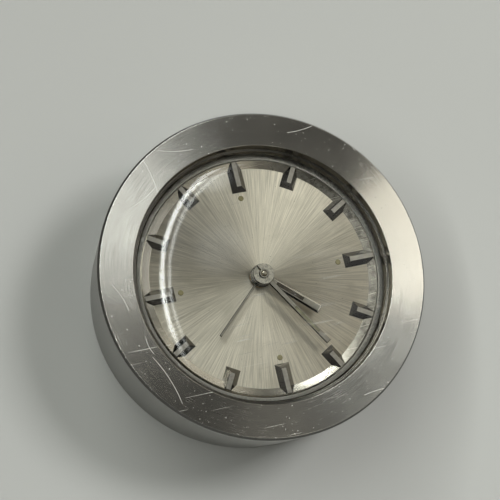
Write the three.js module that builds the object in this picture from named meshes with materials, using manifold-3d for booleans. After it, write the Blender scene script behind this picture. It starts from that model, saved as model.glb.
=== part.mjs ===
// A round steel table clock with a mechanical alarm, lying on its rear rim.
// Millimetres. The origin is the centre of the rear rim, +Z comes out of the dial,
// +Y points to 12 o'clock and +X to 3 o'clock.

import * as THREE from "three";
import { ConvexGeometry } from "three/addons/geometries/ConvexGeometry.js";
import { mergeVertices } from "three/addons/utils/BufferGeometryUtils.js";
import Module from "manifold-3d";

const wasm = await Module();
wasm.setup();

// Case, from the rear rim forwards
const bodyTaper = 2;
const wall = 1.6;
const recessDepth = 6.7;
const coverThickness = 0.8;
const coverRimHeight = 2.0;
const coverRimThickness = 0.8;
const coverPostHeight = 1.3;
const ledgeThickness = 1.2;
const ledgeWidth = 2.9;
const ledgeGap = 1.94;

// Movement frame
const plateMargin = 1.8;
const backPlateThickness = 1.2;
const frontPlateThickness = 1.2;
const plateGap = 7.5;
const movementRingLap = 2.5;
const motionWorkHeight = 2.6;
const pillarRadius = 1.9;
const pillarScrewRadius = 1.1;
const pillarInset = 1.1;
const pillarAngles = [75, 165, 255, 345];
const coverPostRadius = 2.2;
const coverPostInset = 0.3;
const coverPostAngles = [45, 200, 305];
const coverScrewRadius = 0.8;
const coverScrewHeadRadius = 1.6;
const coverScrewHeadHeight = 0.8;

// Dial and its fixings
const dialFlangeThickness = 0.5;
const dialThickness = 0.8;
const dialRimGap = 0.35;
const dialRimRun = 1.7;
const dialRimRise = 0.9;
const dialFlangeInset = 0.2;
const dialRingHeight = 0.7;

// Crystal and bezel
const crystalLap = 1.4;
const crystalFootThickness = 1.2;
const crystalWall = 1.1;
const domeGap = 0.3;
const domeRise = 7.4;
const domeStep = 0.3;
const bezelFaceWidth = 7.6;
const bezelRise = 0.1;
const bezelWallRun = 0.5;
const bezelStepHeight = 1.15;
const bezelStepRun = 0.35;
const bezelLipRun = 0.45;
const bezelLipHeight = 2.7;
const bezelChamferRun = 0.5;
const bezelChamferHeight = 0.8;
const bezelPlate = 1.9;
const bezelSkirtWall = 1.6;
const bezelSpigotWall = 1.5;
const bezelSpigotDepth = 3.0;

// Hour marks
const markWidth = 3.3;
const markHeight = 1.1;
const markTopWidth = 1.05;
const markHipRun = 1.2;
const markEdgeGap = 0.06;
const markFitGap = 0.04;
const markLength = 5;
const quarterMarkLength = 6.8;

// Hands, with where they stand: about 4:25, the alarm set to about 7:34
const minuteHandGap = 4.25;
const minuteHandWidth = 1.2;
const minuteHandTipWidth = 1.3;
const minuteSlot = { fromShare: 0.484, toShare: 0.851, width: 0.56 };
const minuteBossRadius = 2.3;
const hourHandShare = 0.72;
const hourHandWidth = 1.8;
const hourHandTipWidth = 2.1;
const hourSlot = { fromShare: 0.245, toShare: 0.707, width: 1 };
const hourBossRadius = 2.45;
const alarmHandShare = 0.807;
const alarmHandWidth = 0.5;
const alarmHandTipWidth = 0.6;
const alarmBossRadius = 2.5;
const handThickness = 0.3;
const bossThickness = 0.7;
const bossGap = 0.25;
const bossSlitWidth = 0.35;
const alarmHandRise = 1.1;
const minutesShown = 24.7;
const hourShown = 4;
const alarmHourShown = 7.57;
const hoursOnDial = 12;
const hoursPerQuarter = 3;
const minutesPerHour = 60;

// Toothed wheels: teeth of a wheel, leaves of its pinion, and their module. The three pairs
// behind the dial get their module from the distance that their arbors have to keep.
const barrelMesh = { wheel: 36, pinion: 6, module: 0.58 };
const centreMesh = { wheel: 48, pinion: 6, module: 0.4 };
const thirdMesh = { wheel: 45, pinion: 6, module: 0.38 };
const fourthMesh = { wheel: 48, pinion: 6, module: 0.34 };
const minuteTeeth = { wheel: 24, pinion: 8 };
const hourTeeth = { wheel: 24, pinion: 6 };
const alarmSetTeeth = { wheel: 24, pinion: 6 };
const strikeMesh = { wheel: 24, pinion: 6, module: 0.64 };
const wheelTooth = { addendumShare: 0.9, dedendumShare: 1.5, tipShare: 0.16 };
const pinionTooth = { addendumShare: 0.7, dedendumShare: 1.4, tipShare: 0.16 };
const windowInnerShare = 0.3;
const windowOuterShare = 0.78;
const spokeHalfAngle = 14;
const wheelThickness = 0.6;
const pinionOverhang = 0.2;
const motionWheelThickness = 0.5;

// Where the wheels stand round each other, in degrees from 3 o'clock
const barrelAngle = 215;
const thirdAngle = 120;
const fourthAngle = 10;
const escapeAngle = 20;
const palletAngle = -60;
const balanceAngle = -30;
const alarmBarrelAngle = -36;
const alarmBarrelDistance = 14;
const strikeAngle = -60;
const hammerAngle = 215;
const minuteWheelAngle = -81.6;
const alarmSetAngle = 8;

// Heights above the back plate
const thirdWheelLift = 0.6;
const barrelLift = 1.9;
const barrelHeight = 3.4;
const fourthWheelLift = 3.0;
const escapeWheelLift = 5.6;
const centreWheelLift = 6.0;
const balanceLift = 3.6;
const hairspringLift = 1.2;
const rollerLift = 6.35;

// Arbors, pivots and fits
const arborRadius = 0.6;
const pivotRadius = 0.35;
const pivotClearance = 0.1;
const pivotInset = 0.2;
const shoulderGap = 0.15;
const runningGap = 0.12;
const fitGap = 0.3;
const overrun = 1;

// Springs and barrels
const barrelWall = 0.6;
const barrelFloor = 0.8;
const windingArborRadius = 1.5;
const windingEndRadius = 1.2;
const windingPivotRadius = 0.7;
const mainspringThickness = 0.35;
const mainspringTurns = 3;
const mainspringSideGap = 0.3;
const hairspringThickness = 0.12;
const hairspringHeight = 0.5;
const hairspringInnerRadius = 0.95;
const hairspringOuterRadius = 3.6;
const hairspringTurns = 4;
const hairspringStudRadius = 0.45;

// Escapement
const escapeTeeth = 15;
const escapeRadius = 3.8;
const escapeToothDepth = 1.1;
const escapeLeanShare = 0.75;
const palletDistance = 5.4;
const palletSpread = 40;
const palletClearance = 0.4;
const palletWidth = 0.7;
const palletLength = 1.4;
const palletRootShare = 0.75;
const leverWidth = 0.8;
const leverThickness = 0.5;
const balanceDistance = 6.6;
const balanceRadius = 5.6;
const balanceRimWidth = 0.7;
const balanceRimHeight = 0.8;
const balanceHubRadius = 0.9;
const balanceSpokeWidth = 0.8;
const rollerRadius = 1.6;
const rollerThickness = 0.4;
const impulsePinRadius = 0.2;
const impulsePinLength = 0.8;
const impulsePinInset = 0.3;
const forkGap = 0.25;
const forkWidth = 1.6;
const forkSlotWidth = 0.4;
const forkMouthWidth = 0.6;

// Ratchets and clicks, behind the back plate
const ratchetTeeth = 12;
const ratchetRadius = 3.4;
const ratchetToothDepth = 0.7;
const ratchetLeanShare = 0.1;
const ratchetThickness = 0.6;
const ratchetGap = 0.35;
const clickRadius = 0.9;
const clickStudRadius = 0.45;
const clickLength = 3.2;
const clickClearance = 0.2;
const clickTipWidth = 0.5;
const timeClickAngle = 100;
const alarmClickAngle = 80;
const clickLead = 35;

// Regulator
const regulatorBossRadius = 1.2;
const regulatorRingWidth = 0.8;
const regulatorReach = 6;
const regulatorArmWidth = 0.9;
const regulatorTabRadius = 0.5;
const regulatorTabProud = 0.8;
const regulatorSwing = 25;
const regulatorThickness = 0.5;

// Alarm
const strikeTeeth = 12;
const strikeRadius = 4;
const strikeToothDepth = 1.3;
const strikeLeanShare = 0.5;
const strikeWheelLift = 0.6;
const hammerDistance = 5.7;
const hammerArmAngle = 190;
const hammerArmLength = 12.5;
const hammerArmWidth = 1.2;
const hammerHeadRadius = 1.7;
const hammerHeadHeight = 3;
const gongPostRadius = 1.4;
const gongPostGap = 1.3;
const gongPostHeight = 3;
const releaseSpringThickness = 0.2;
const releaseSpringWidth = 1.6;
const releaseSpringRootWidth = 3.2;
const releaseSpringLength = 15;
const releaseSpringAngle = 160;
const releaseSpringLift = 0.88;
const releaseStudRadius = 1.1;
const alarmLugRadius = 0.4;
const alarmLugDistance = 4.6;
const alarmLugHeight = 0.12;

// Pipes and the centre arbor
const centreArborTopRadius = 0.45;
const cannonPipeRadius = 0.95;
const cannonPipeProud = 0.3;
const hourPipeWall = 0.43;
const alarmPipeWall = 0.43;
const centrePinProud = 0.35;

// Keys, knobs and button at the back
const floorGap = 0.8;
const keyWidth = 12;
const keyThickness = 1.6;
const keyHubRadius = 2.3;
const keyHubHeight = 1.6;
const keyEyeRadius = 1.1;
const keySeatDepth = 2.4;
const coverGap = 0.5;
const knobRadius = 3.2;
const knobHeight = 3.6;
const knobFlutes = 16;
const knobFluteDepth = 0.25;
const knobSeatDepth = 2.2;
const setArborRadius = 0.7;
const setArborGap = 0.38;
const buttonRadius = 2.0;
const buttonHeight = 2.2;
const buttonStemRadius = 0.9;
const buttonTravel = 1.5;
const buttonOut = 0.4;
const buttonArmShare = 0.5;

// Facets
const caseSides = 40;
const plateSides = 32;
const rimSides = 20;
const bossSides = 12;
const arborSides = 6;
const holeSides = 8;
const domeSteps = 4;
const springSteps = 10;
const slotSteps = 4;

// Angles in degrees
const fullTurn = 360;
const halfTurn = 180;
const quarterTurn = 90;

// Heights worked out from the stack
const coverZ = recessDepth;
const coverTopZ = coverZ + coverThickness;
const backPlateZ = coverTopZ + coverPostHeight;
const gapZ = backPlateZ + backPlateThickness;
const frontPlateZ = gapZ + plateGap;
const ringZ = frontPlateZ + frontPlateThickness;
const dialZ = ringZ + motionWorkHeight;
const dialFaceZ = dialZ + dialThickness;
const dialRingZ = dialZ + dialFlangeThickness;
const crystalZ = dialRingZ + dialRingHeight;
const lipZ = crystalZ + crystalFootThickness;
const faceZ = lipZ + bezelLipHeight;
const drumTopZ = faceZ - bezelChamferHeight;

// Outlines

const polar = (centre, distance, degrees) => {
  const angle = THREE.MathUtils.degToRad(degrees);
  return [centre[0] + distance * Math.cos(angle), centre[1] + distance * Math.sin(angle)];
};

const directionOf = ([x, y]) => THREE.MathUtils.radToDeg(Math.atan2(y, x));

function roundOutline(radius, sides, centre = [0, 0]) {
  const outline = [];
  for (let i = 0; i < sides; i += 1) {
    outline.push(polar(centre, radius, (fullTurn * i) / sides));
  }
  return outline;
}

// Straight-sided teeth or leaves with a sharp gap between them, the first one centred on turn.
function toothedOutline(teeth, module, tooth, turn) {
  const pitchRadius = (teeth * module) / 2;
  const tipRadius = pitchRadius + module * tooth.addendumShare;
  const rootRadius = pitchRadius - module * tooth.dedendumShare;
  const pitch = fullTurn / teeth;
  const outline = [];
  for (let i = 0; i < teeth; i += 1) {
    const middle = turn + i * pitch;
    outline.push(polar([0, 0], rootRadius, middle - pitch / 2));
    outline.push(polar([0, 0], tipRadius, middle - (pitch * tooth.tipShare) / 2));
    outline.push(polar([0, 0], tipRadius, middle + (pitch * tooth.tipShare) / 2));
  }
  return outline;
}

// Pointed teeth that lean one way, as on an escape wheel or a ratchet.
function pointedOutline(teeth, radius, depth, leanShare, turn) {
  const pitch = fullTurn / teeth;
  const outline = [];
  for (let i = 0; i < teeth; i += 1) {
    outline.push(polar([0, 0], radius - depth, turn + i * pitch));
    outline.push(polar([0, 0], radius, turn + (i + leanShare) * pitch));
  }
  return outline;
}

// Four windows that leave four spokes in a wheel.
function wheelWindows(rootRadius) {
  const inner = rootRadius * windowInnerShare;
  const outer = rootRadius * windowOuterShare;
  const windows = [];
  for (let quarter = 0; quarter < fullTurn; quarter += quarterTurn) {
    const from = quarter + spokeHalfAngle;
    const to = quarter + quarterTurn - spokeHalfAngle;
    const middle = (from + to) / 2;
    windows.push([
      polar([0, 0], inner, middle),
      polar([0, 0], outer, from),
      polar([0, 0], outer, middle),
      polar([0, 0], outer, to),
    ]);
  }
  return windows;
}

// A straight arm between two places, with its own width at each end.
function armOutline(start, end, startWidth, endWidth) {
  const along = Math.atan2(end[1] - start[1], end[0] - start[0]);
  const across = [-Math.sin(along), Math.cos(along)];
  const side = ([x, y], width) => [x + (across[0] * width) / 2, y + (across[1] * width) / 2];
  return [
    side(start, -startWidth),
    side(end, -endWidth),
    side(end, endWidth),
    side(start, startWidth),
  ];
}

// A flat strip wound in a spiral from the inner to the outer radius.
function spiralOutline(innerRadius, outerRadius, thickness, turns, startAngle) {
  const inside = [];
  const outside = [];
  const steps = turns * springSteps;
  for (let i = 0; i <= steps; i += 1) {
    const radius = innerRadius + ((outerRadius - innerRadius) * i) / steps;
    const angle = startAngle + (fullTurn * i) / springSteps;
    inside.push(polar([0, 0], radius - thickness / 2, angle));
    outside.push(polar([0, 0], radius + thickness / 2, angle));
  }
  return [...inside, ...outside.reverse()];
}

// Solids

// Turns a closed geometry into a solid whose faces point out and which can be joined and cut.
function solidFrom(geometry) {
  const bare = new THREE.BufferGeometry();
  bare.setAttribute("position", geometry.getAttribute("position"));
  if (geometry.index) bare.setIndex(geometry.index);
  const merged = mergeVertices(bare);
  const places = merged.getAttribute("position").array;
  const corners = [];
  let volume = 0;
  for (let i = 0; i < merged.index.count; i += 3) {
    const [a, b, c] = merged.index.array.slice(i, i + 3);
    if (a === b || b === c || c === a) continue;
    corners.push(a, b, c);
    const [p, q, r] = [a, b, c].map((k) => new THREE.Vector3().fromArray(places, 3 * k));
    volume += p.dot(q.cross(r));
  }
  const triVerts = new Uint32Array(volume < 0 ? corners.reverse() : corners);
  const vertProperties = new Float32Array(places);
  return new wasm.Manifold(new wasm.Mesh({ numProp: 3, vertProperties, triVerts }));
}

// A piece turned on a lathe, from its profile of [radius, height].
function turned(profile, sides = caseSides) {
  const points = profile.map(([radius, height]) => new THREE.Vector2(radius, height));
  const startsOnAxis = profile[0][0] === 0;
  if (!startsOnAxis) points.push(points[0].clone());
  const geometry = new THREE.LatheGeometry(points, sides);
  geometry.rotateX(Math.PI / 2);
  return solidFrom(geometry);
}

// A flat piece between two heights, from its outline and the outlines of its holes.
function sheet(outline, low, high, holes = []) {
  const shape = new THREE.Shape(outline.map(([x, y]) => new THREE.Vector2(x, y)));
  shape.holes = holes.map((hole) => new THREE.Path(hole.map(([x, y]) => new THREE.Vector2(x, y))));
  const geometry = new THREE.ExtrudeGeometry(shape, { depth: high - low, bevelEnabled: false });
  geometry.translate(0, 0, low);
  return solidFrom(geometry);
}

const rod = (radius, low, high, centre = [0, 0], sides = bossSides) =>
  sheet(roundOutline(radius, sides, centre), low, high);

// A shaft of steps, each [radius, lower height], and the height where the last one ends.
function shaft(steps, top, sides = arborSides) {
  const profile = [[0, steps[0][1]]];
  steps.forEach(([radius, low], i) => {
    const high = i + 1 < steps.length ? steps[i + 1][1] : top;
    profile.push([radius, low], [radius, high]);
  });
  profile.push([0, top]);
  return turned(profile, sides);
}

const joined = (...solids) => solids.reduce((whole, next) => whole.add(next));
const cut = (whole, ...tools) => tools.reduce((left, tool) => left.subtract(tool), whole);
const placed = (solid, [x, y]) => solid.translate([x, y, 0]);
const turnedBy = (solid, degrees) => solid.rotate([0, 0, degrees]);

// Finishes

const finish = (color, roughness, metalness) => ({ color, roughness, metalness });
const brushedSteel = finish(0x8a877d, 0.34, 1);
const steelWall = finish(0x74746f, 0.42, 1);
const clearAcrylic = finish(0xeef0ee, 0.05, 0);
const paleMetal = finish(0xb9b8ae, 0.35, 0.9);
const silverDial = finish(0xb2ac98, 0.38, 0.85);
const polishedMark = finish(0x9b978c, 0.12, 1);
const handSteel = finish(0x9d9a90, 0.25, 1);
const brass = finish(0xb08d4a, 0.35, 1);
const springSteel = finish(0x5b5f68, 0.3, 1);
const plainSteel = finish(0x8d8f92, 0.35, 1);

const clock = new THREE.Group();

function piece(name, solid, { color, roughness, metalness }) {
  const { vertProperties, triVerts } = solid.getMesh();
  const geometry = new THREE.BufferGeometry();
  geometry.setAttribute("position", new THREE.BufferAttribute(new Float32Array(vertProperties), 3));
  geometry.setIndex(new THREE.BufferAttribute(new Uint32Array(triVerts), 1));
  geometry.computeVertexNormals();
  const mesh = new THREE.Mesh(geometry, new THREE.MeshStandardMaterial({ color, roughness, metalness }));
  mesh.name = name;
  clock.add(mesh);
}

// Places of the arbors

const pitchRadius = (teeth, { module }) => (teeth * module) / 2;
const tipRadius = (mesh) => pitchRadius(mesh.wheel, mesh) + mesh.module * wheelTooth.addendumShare;
const meshDistance = (mesh) => pitchRadius(mesh.wheel, mesh) + pitchRadius(mesh.pinion, mesh);
function meshAcross(distance, { wheel, pinion }) {
  return { wheel, pinion, module: (2 * distance) / (wheel + pinion) };
}

// The two setting arbors pass just outside the centre wheel.
const setDistance = tipRadius(centreMesh) + setArborRadius + setArborGap;
const minuteMesh = meshAcross(setDistance, minuteTeeth);
const hourMesh = meshAcross(setDistance, hourTeeth);
const alarmSetMesh = meshAcross(setDistance, alarmSetTeeth);

const centre = [0, 0];
const barrelPlace = polar(centre, meshDistance(barrelMesh), barrelAngle);
const thirdPlace = polar(centre, meshDistance(centreMesh), thirdAngle);
const fourthPlace = polar(thirdPlace, meshDistance(thirdMesh), fourthAngle);
const escapePlace = polar(fourthPlace, meshDistance(fourthMesh), escapeAngle);
const palletPlace = polar(escapePlace, palletDistance, palletAngle);
const balancePlace = polar(palletPlace, balanceDistance, balanceAngle);
const alarmBarrelPlace = polar(centre, alarmBarrelDistance, alarmBarrelAngle);
const strikePlace = polar(alarmBarrelPlace, meshDistance(strikeMesh), strikeAngle);
const hammerPlace = polar(strikePlace, hammerDistance, hammerAngle);
const minuteWheelPlace = polar(centre, meshDistance(minuteMesh), minuteWheelAngle);
const alarmSetPlace = polar(centre, meshDistance(alarmSetMesh), alarmSetAngle);
const buttonPlace = polar(hammerPlace, hammerArmLength * buttonArmShare, hammerArmAngle);
const hammerHeadPlace = polar(hammerPlace, hammerArmLength, hammerArmAngle);
const gongPostDistance = hammerHeadRadius + gongPostRadius + gongPostGap;
const gongPostPlace = polar(hammerHeadPlace, gongPostDistance, hammerArmAngle + quarterTurn);

// The plates reach a little past the wheels and posts that stand furthest out.

const reachOf = ([x, y], radius) => Math.hypot(x, y) + radius;
const trainReach = Math.max(
  reachOf(barrelPlace, tipRadius(barrelMesh)),
  reachOf(alarmBarrelPlace, tipRadius(strikeMesh)),
  reachOf(balancePlace, balanceRadius),
  reachOf(strikePlace, strikeRadius),
  reachOf(gongPostPlace, gongPostRadius),
);
const plateRadius = trainReach + plateMargin;
const pillarCircleRadius = plateRadius - pillarRadius - pillarInset;
const coverPostCircleRadius = plateRadius - coverPostRadius - coverPostInset;
const movementRingBore = plateRadius - movementRingLap;

// Case drum: a tapered steel tube with a ledge inside that carries the movement ring

const ledgeBore = plateRadius + ledgeGap;
const drumRadiusAtRing = ledgeBore + ledgeWidth + wall;
const outerRadiusAt = (z) => drumRadiusAtRing + (bodyTaper * (z - ringZ)) / drumTopZ;
const innerRadiusAt = (z) => outerRadiusAt(z) - wall;
const ledgeZ = ringZ - ledgeThickness;
const bodyRadius = outerRadiusAt(drumTopZ);

// Radii of the dial opening, from the bezel's face inwards

const bezelInnerRadius = bodyRadius - bezelFaceWidth;
const bezelStepRadius = bezelInnerRadius - bezelWallRun;
const bezelLipRadius = bezelStepRadius - bezelStepRun - bezelLipRun;
const crystalRadius = bezelLipRadius + crystalLap;
const domeRadius = bezelLipRadius - domeGap;
const halfWall = crystalWall / 2;
const crystalFootBore = domeRadius - halfWall;
const dialFlangeRadius = crystalRadius - dialFlangeInset;
const dialRimRadius = crystalFootBore - dialRimGap;
const dialFlatRadius = dialRimRadius - dialRimRun;
const markOuterRadius = dialRimRadius - markEdgeGap;

piece("case_drum", turned([
  [outerRadiusAt(0), 0],
  [outerRadiusAt(drumTopZ), drumTopZ],
  [innerRadiusAt(drumTopZ), drumTopZ],
  [innerRadiusAt(ringZ), ringZ],
  [ledgeBore, ringZ],
  [ledgeBore, ledgeZ],
  [innerRadiusAt(ledgeZ), ledgeZ],
  [innerRadiusAt(0), 0],
]), steelWall);

// Bezel: a broad brushed ring with a bright chamfer, a stepped inner wall, a spigot that
// enters the drum and a skirt round the crystal

const spigotRadius = innerRadiusAt(drumTopZ - bezelSpigotDepth) - fitGap;
const skirtBore = crystalRadius + fitGap;
const skirtBottomZ = dialZ + fitGap;
const bezelUndersideZ = faceZ - bezelPlate;
const bezelStepZ = lipZ + bezelStepHeight;

piece("bezel_ring", turned([
  [bodyRadius, drumTopZ],
  [bodyRadius - bezelChamferRun, faceZ],
  [bezelInnerRadius, faceZ + bezelRise],
  [bezelStepRadius, bezelStepZ],
  [bezelStepRadius - bezelStepRun, bezelStepZ],
  [bezelLipRadius, lipZ],
  [skirtBore, lipZ],
  [skirtBore, skirtBottomZ],
  [skirtBore + bezelSkirtWall, skirtBottomZ],
  [skirtBore + bezelSkirtWall, bezelUndersideZ],
  [spigotRadius - bezelSpigotWall, bezelUndersideZ],
  [spigotRadius - bezelSpigotWall, drumTopZ - bezelSpigotDepth],
  [spigotRadius, drumTopZ - bezelSpigotDepth],
  [spigotRadius, drumTopZ],
]), brushedSteel);

// Crystal: a high dome of clear acrylic on a flat foot, held under the bezel's lip

function domeArc(baseRadius, baseZ, rise) {
  const ballRadius = (baseRadius ** 2 + rise ** 2) / (2 * rise);
  const ballZ = baseZ + rise - ballRadius;
  const halfAngle = Math.asin(baseRadius / ballRadius);
  const arc = [];
  for (let i = 0; i <= domeSteps; i += 1) {
    const angle = (halfAngle * (domeSteps - i)) / domeSteps;
    arc.push([i === domeSteps ? 0 : ballRadius * Math.sin(angle), ballZ + ballRadius * Math.cos(angle)]);
  }
  return arc;
}

const domeBaseZ = lipZ + domeStep;

piece("crystal", turned([
  ...domeArc(crystalFootBore - halfWall, domeBaseZ - halfWall, domeRise - halfWall).reverse(),
  [crystalFootBore, crystalZ],
  [crystalRadius, crystalZ],
  [crystalRadius, lipZ],
  [domeRadius, lipZ],
  ...domeArc(domeRadius, domeBaseZ, domeRise),
]), clearAcrylic);

// Dial ring: the pale flat ring that presses the crystal's foot against the lip

piece("dial_ring", turned([
  [crystalFootBore, dialRingZ],
  [dialFlangeRadius, dialRingZ],
  [dialFlangeRadius, crystalZ],
  [crystalFootBore, crystalZ],
]), paleMetal);

// Dial: a flat disc with a polished rim dished up round its edge and a thin flange outside it

const alarmPipeBore = cannonPipeRadius + hourPipeWall + 2 * runningGap;
const alarmPipeRadius = alarmPipeBore + alarmPipeWall;
const dialHoleRadius = alarmPipeRadius + fitGap;

piece("dial_plate", turned([
  [dialHoleRadius, dialZ],
  [dialFlangeRadius, dialZ],
  [dialFlangeRadius, dialRingZ],
  [dialRimRadius, dialRingZ],
  [dialRimRadius, dialFaceZ + dialRimRise],
  [dialFlatRadius, dialFaceZ],
  [dialHoleRadius, dialFaceZ],
]), silverDial);

// Hour marks: twelve polished batons with a narrow flat top, sloping sides and a hipped inner end.
// Each is cut away underneath where the dial's rim rises.

function batonMark(length) {
  const innerRadius = markOuterRadius - length;
  const base = armOutline([0, innerRadius], [0, markOuterRadius], markWidth, markWidth);
  const top = armOutline(
    [0, innerRadius + markHipRun],
    [0, markOuterRadius],
    markTopWidth,
    markTopWidth,
  );
  const foot = base.map(([x, y]) => new THREE.Vector3(x, y, dialFaceZ));
  const ridge = top.map(([x, y]) => new THREE.Vector3(x, y, dialFaceZ + markHeight));
  return solidFrom(new ConvexGeometry([...foot, ...ridge]));
}

const rimCutter = turned([
  [dialFlatRadius, dialFaceZ + markFitGap],
  [dialFlatRadius, dialZ],
  [dialRimRadius + overrun, dialZ],
  [dialRimRadius + overrun, dialFaceZ + dialRimRise + markFitGap],
  [dialRimRadius, dialFaceZ + dialRimRise + markFitGap],
]);

for (let hour = 1; hour <= hoursOnDial; hour += 1) {
  const length = hour % hoursPerQuarter === 0 ? quarterMarkLength : markLength;
  const mark = turnedBy(batonMark(length), (-fullTurn * hour) / hoursOnDial);
  piece(`hour_mark_${String(hour).padStart(2, "0")}`, cut(mark, rimCutter), polishedMark);
}

// Hands: flat blades with square ends on round bosses, each boss slit on the side away from its
// blade. The hour and minute blades have a slot for a luminous filling.

const alarmBossZ = dialFaceZ + alarmHandRise;
const hourBossZ = alarmBossZ + bossThickness + bossGap;
const minuteBossZ = hourBossZ + bossThickness + bossGap;
const cannonTopZ = minuteBossZ + bossThickness + cannonPipeProud;
const centrePinTopZ = cannonTopZ + centrePinProud;
const hourPipeBore = cannonPipeRadius + runningGap;
const hourPipeRadius = hourPipeBore + hourPipeWall;

function hand({ bossRadius, bore, low, length, width, tipWidth, slot, clockAngle }) {
  const tip = [0, length];
  const holes = [];
  if (slot) {
    const from = [0, length * slot.fromShare];
    const to = [0, length * slot.toShare];
    holes.push(armOutline(from, to, slot.width, slot.width));
  }
  const blade = sheet(armOutline([0, bore], tip, width, tipWidth), low, low + handThickness, holes);
  const boss = rod(bossRadius, low, low + bossThickness);
  const slitOutline = armOutline([0, 0], [0, -bossRadius - overrun], bossSlitWidth, bossSlitWidth);
  const slit = sheet(slitOutline, low - overrun, low + overrun);
  const whole = cut(joined(blade, boss), rod(bore, low - overrun, low + overrun), slit);
  return turnedBy(whole, -clockAngle);
}

const minuteHandLength = dialFlatRadius - minuteHandGap;
const minuteAngle = (fullTurn * minutesShown) / minutesPerHour;
const hourAngle = (fullTurn * (hourShown + minutesShown / minutesPerHour)) / hoursOnDial;
const alarmAngle = (fullTurn * alarmHourShown) / hoursOnDial;

piece("alarm_hand", hand({
  bossRadius: alarmBossRadius,
  bore: alarmPipeRadius + runningGap,
  low: alarmBossZ,
  length: minuteHandLength * alarmHandShare,
  width: alarmHandWidth,
  tipWidth: alarmHandTipWidth,
  clockAngle: alarmAngle,
}), handSteel);

piece("hour_hand", hand({
  bossRadius: hourBossRadius,
  bore: hourPipeRadius + runningGap,
  low: hourBossZ,
  length: minuteHandLength * hourHandShare,
  width: hourHandWidth,
  tipWidth: hourHandTipWidth,
  slot: hourSlot,
  clockAngle: hourAngle,
}), handSteel);

piece("minute_hand", hand({
  bossRadius: minuteBossRadius,
  bore: cannonPipeRadius + runningGap,
  low: minuteBossZ,
  length: minuteHandLength,
  width: minuteHandWidth,
  tipWidth: minuteHandTipWidth,
  slot: minuteSlot,
  clockAngle: minuteAngle,
}), handSteel);

// Movement ring: centres the movement in the drum and carries the dial

piece("movement_ring", turned([
  [movementRingBore, ringZ],
  [innerRadiusAt(ringZ) - fitGap, ringZ],
  [innerRadiusAt(ringZ) - fitGap, dialZ],
  [movementRingBore, dialZ],
]), plainSteel);

// Plates: two brass discs with a hole for every pivot, and pillars between them

const pivotHole = pivotRadius + pivotClearance;
const trainPlaces = [thirdPlace, fourthPlace, escapePlace, palletPlace, balancePlace];
const pivotPlaces = [...trainPlaces, strikePlace, hammerPlace];
const pivotHoles = pivotPlaces.map((place) => roundOutline(pivotHole, arborSides, place));
const windingHole = windingArborRadius + fitGap;
const setHole = setArborRadius + fitGap;
const through = [
  roundOutline(setHole, holeSides, minuteWheelPlace),
  roundOutline(setHole, holeSides, alarmSetPlace),
];
const pillarPlaces = pillarAngles.map((angle) => polar(centre, pillarCircleRadius, angle));
const pillarHoles = pillarPlaces.map((place) =>
  roundOutline(pillarScrewRadius + runningGap, holeSides, place));
const barrelPlaces = [barrelPlace, alarmBarrelPlace];

piece("front_plate", sheet(roundOutline(plateRadius, plateSides), frontPlateZ, ringZ, [
  ...pivotHoles,
  ...through,
  ...pillarHoles,
  ...barrelPlaces.map((place) => roundOutline(windingPivotRadius + pivotClearance, holeSides, place)),
  roundOutline(arborRadius + fitGap, holeSides),
]), brass);

const clickDistance = ratchetRadius + clickClearance + clickLength;
const timeClickPlace = polar(barrelPlace, clickDistance, timeClickAngle);
const alarmClickPlace = polar(alarmBarrelPlace, clickDistance, alarmClickAngle);
const ratchetZ = backPlateZ - ratchetGap - ratchetThickness;
const coverPostPlaces = coverPostAngles.map((angle) => polar(centre, coverPostCircleRadius, angle));
const coverScrewHole = coverScrewRadius + runningGap;
const regulatorZ = backPlateZ - ratchetGap - regulatorThickness;

const backPlateDisc = sheet(roundOutline(plateRadius, plateSides), backPlateZ, gapZ, [
  ...pivotHoles,
  ...through,
  ...pillarHoles,
  ...barrelPlaces.map((place) => roundOutline(windingHole, holeSides, place)),
  roundOutline(pivotHole, arborSides),
  roundOutline(buttonStemRadius + fitGap, holeSides, buttonPlace),
  roundOutline(gongPostRadius + fitGap, holeSides, gongPostPlace),
]);
const coverPosts = coverPostPlaces.map((place) =>
  rod(coverPostRadius, coverTopZ, backPlateZ + overrun, place, holeSides));
const coverPostBores = coverPostPlaces.map((place) =>
  rod(coverScrewHole, coverTopZ - overrun, backPlateZ, place, arborSides));
const clickStuds = [timeClickPlace, alarmClickPlace].map((place) =>
  rod(clickStudRadius, ratchetZ - pivotInset, gapZ, place, arborSides));
const regulatorBoss = cut(
  rod(regulatorBossRadius, regulatorZ, gapZ, balancePlace, holeSides),
  rod(pivotHole, regulatorZ - overrun, gapZ + overrun, balancePlace, arborSides),
);

// The hairspring is a flat spiral round the balance staff. Its outer end sits in a stud on the plate.
const hairspringZ = gapZ + hairspringLift;
const hairspringTopZ = hairspringZ + hairspringHeight;
const hairspring = placed(sheet(
  spiralOutline(hairspringInnerRadius, hairspringOuterRadius, hairspringThickness, hairspringTurns, 0),
  hairspringZ,
  hairspringTopZ,
), balancePlace);
const hairspringStudPlace = polar(balancePlace, hairspringOuterRadius, 0);
const hairspringStud = cut(
  rod(hairspringStudRadius, backPlateZ, hairspringTopZ + fitGap, hairspringStudPlace, holeSides),
  hairspring,
);

piece("back_plate", cut(
  joined(backPlateDisc, ...coverPosts, ...clickStuds, regulatorBoss, hairspringStud),
  ...coverPostBores,
), brass);

pillarPlaces.forEach((place, i) => {
  const pillar = shaft([
    [pillarScrewRadius, backPlateZ],
    [pillarRadius, gapZ],
    [pillarScrewRadius, frontPlateZ],
  ], ringZ, holeSides);
  piece(`pillar_${i + 1}`, placed(pillar, place), plainSteel);
});

// Wheels on their arbors

const wheelRoot = (mesh) => pitchRadius(mesh.wheel, mesh) - mesh.module * wheelTooth.dedendumShare;

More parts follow.
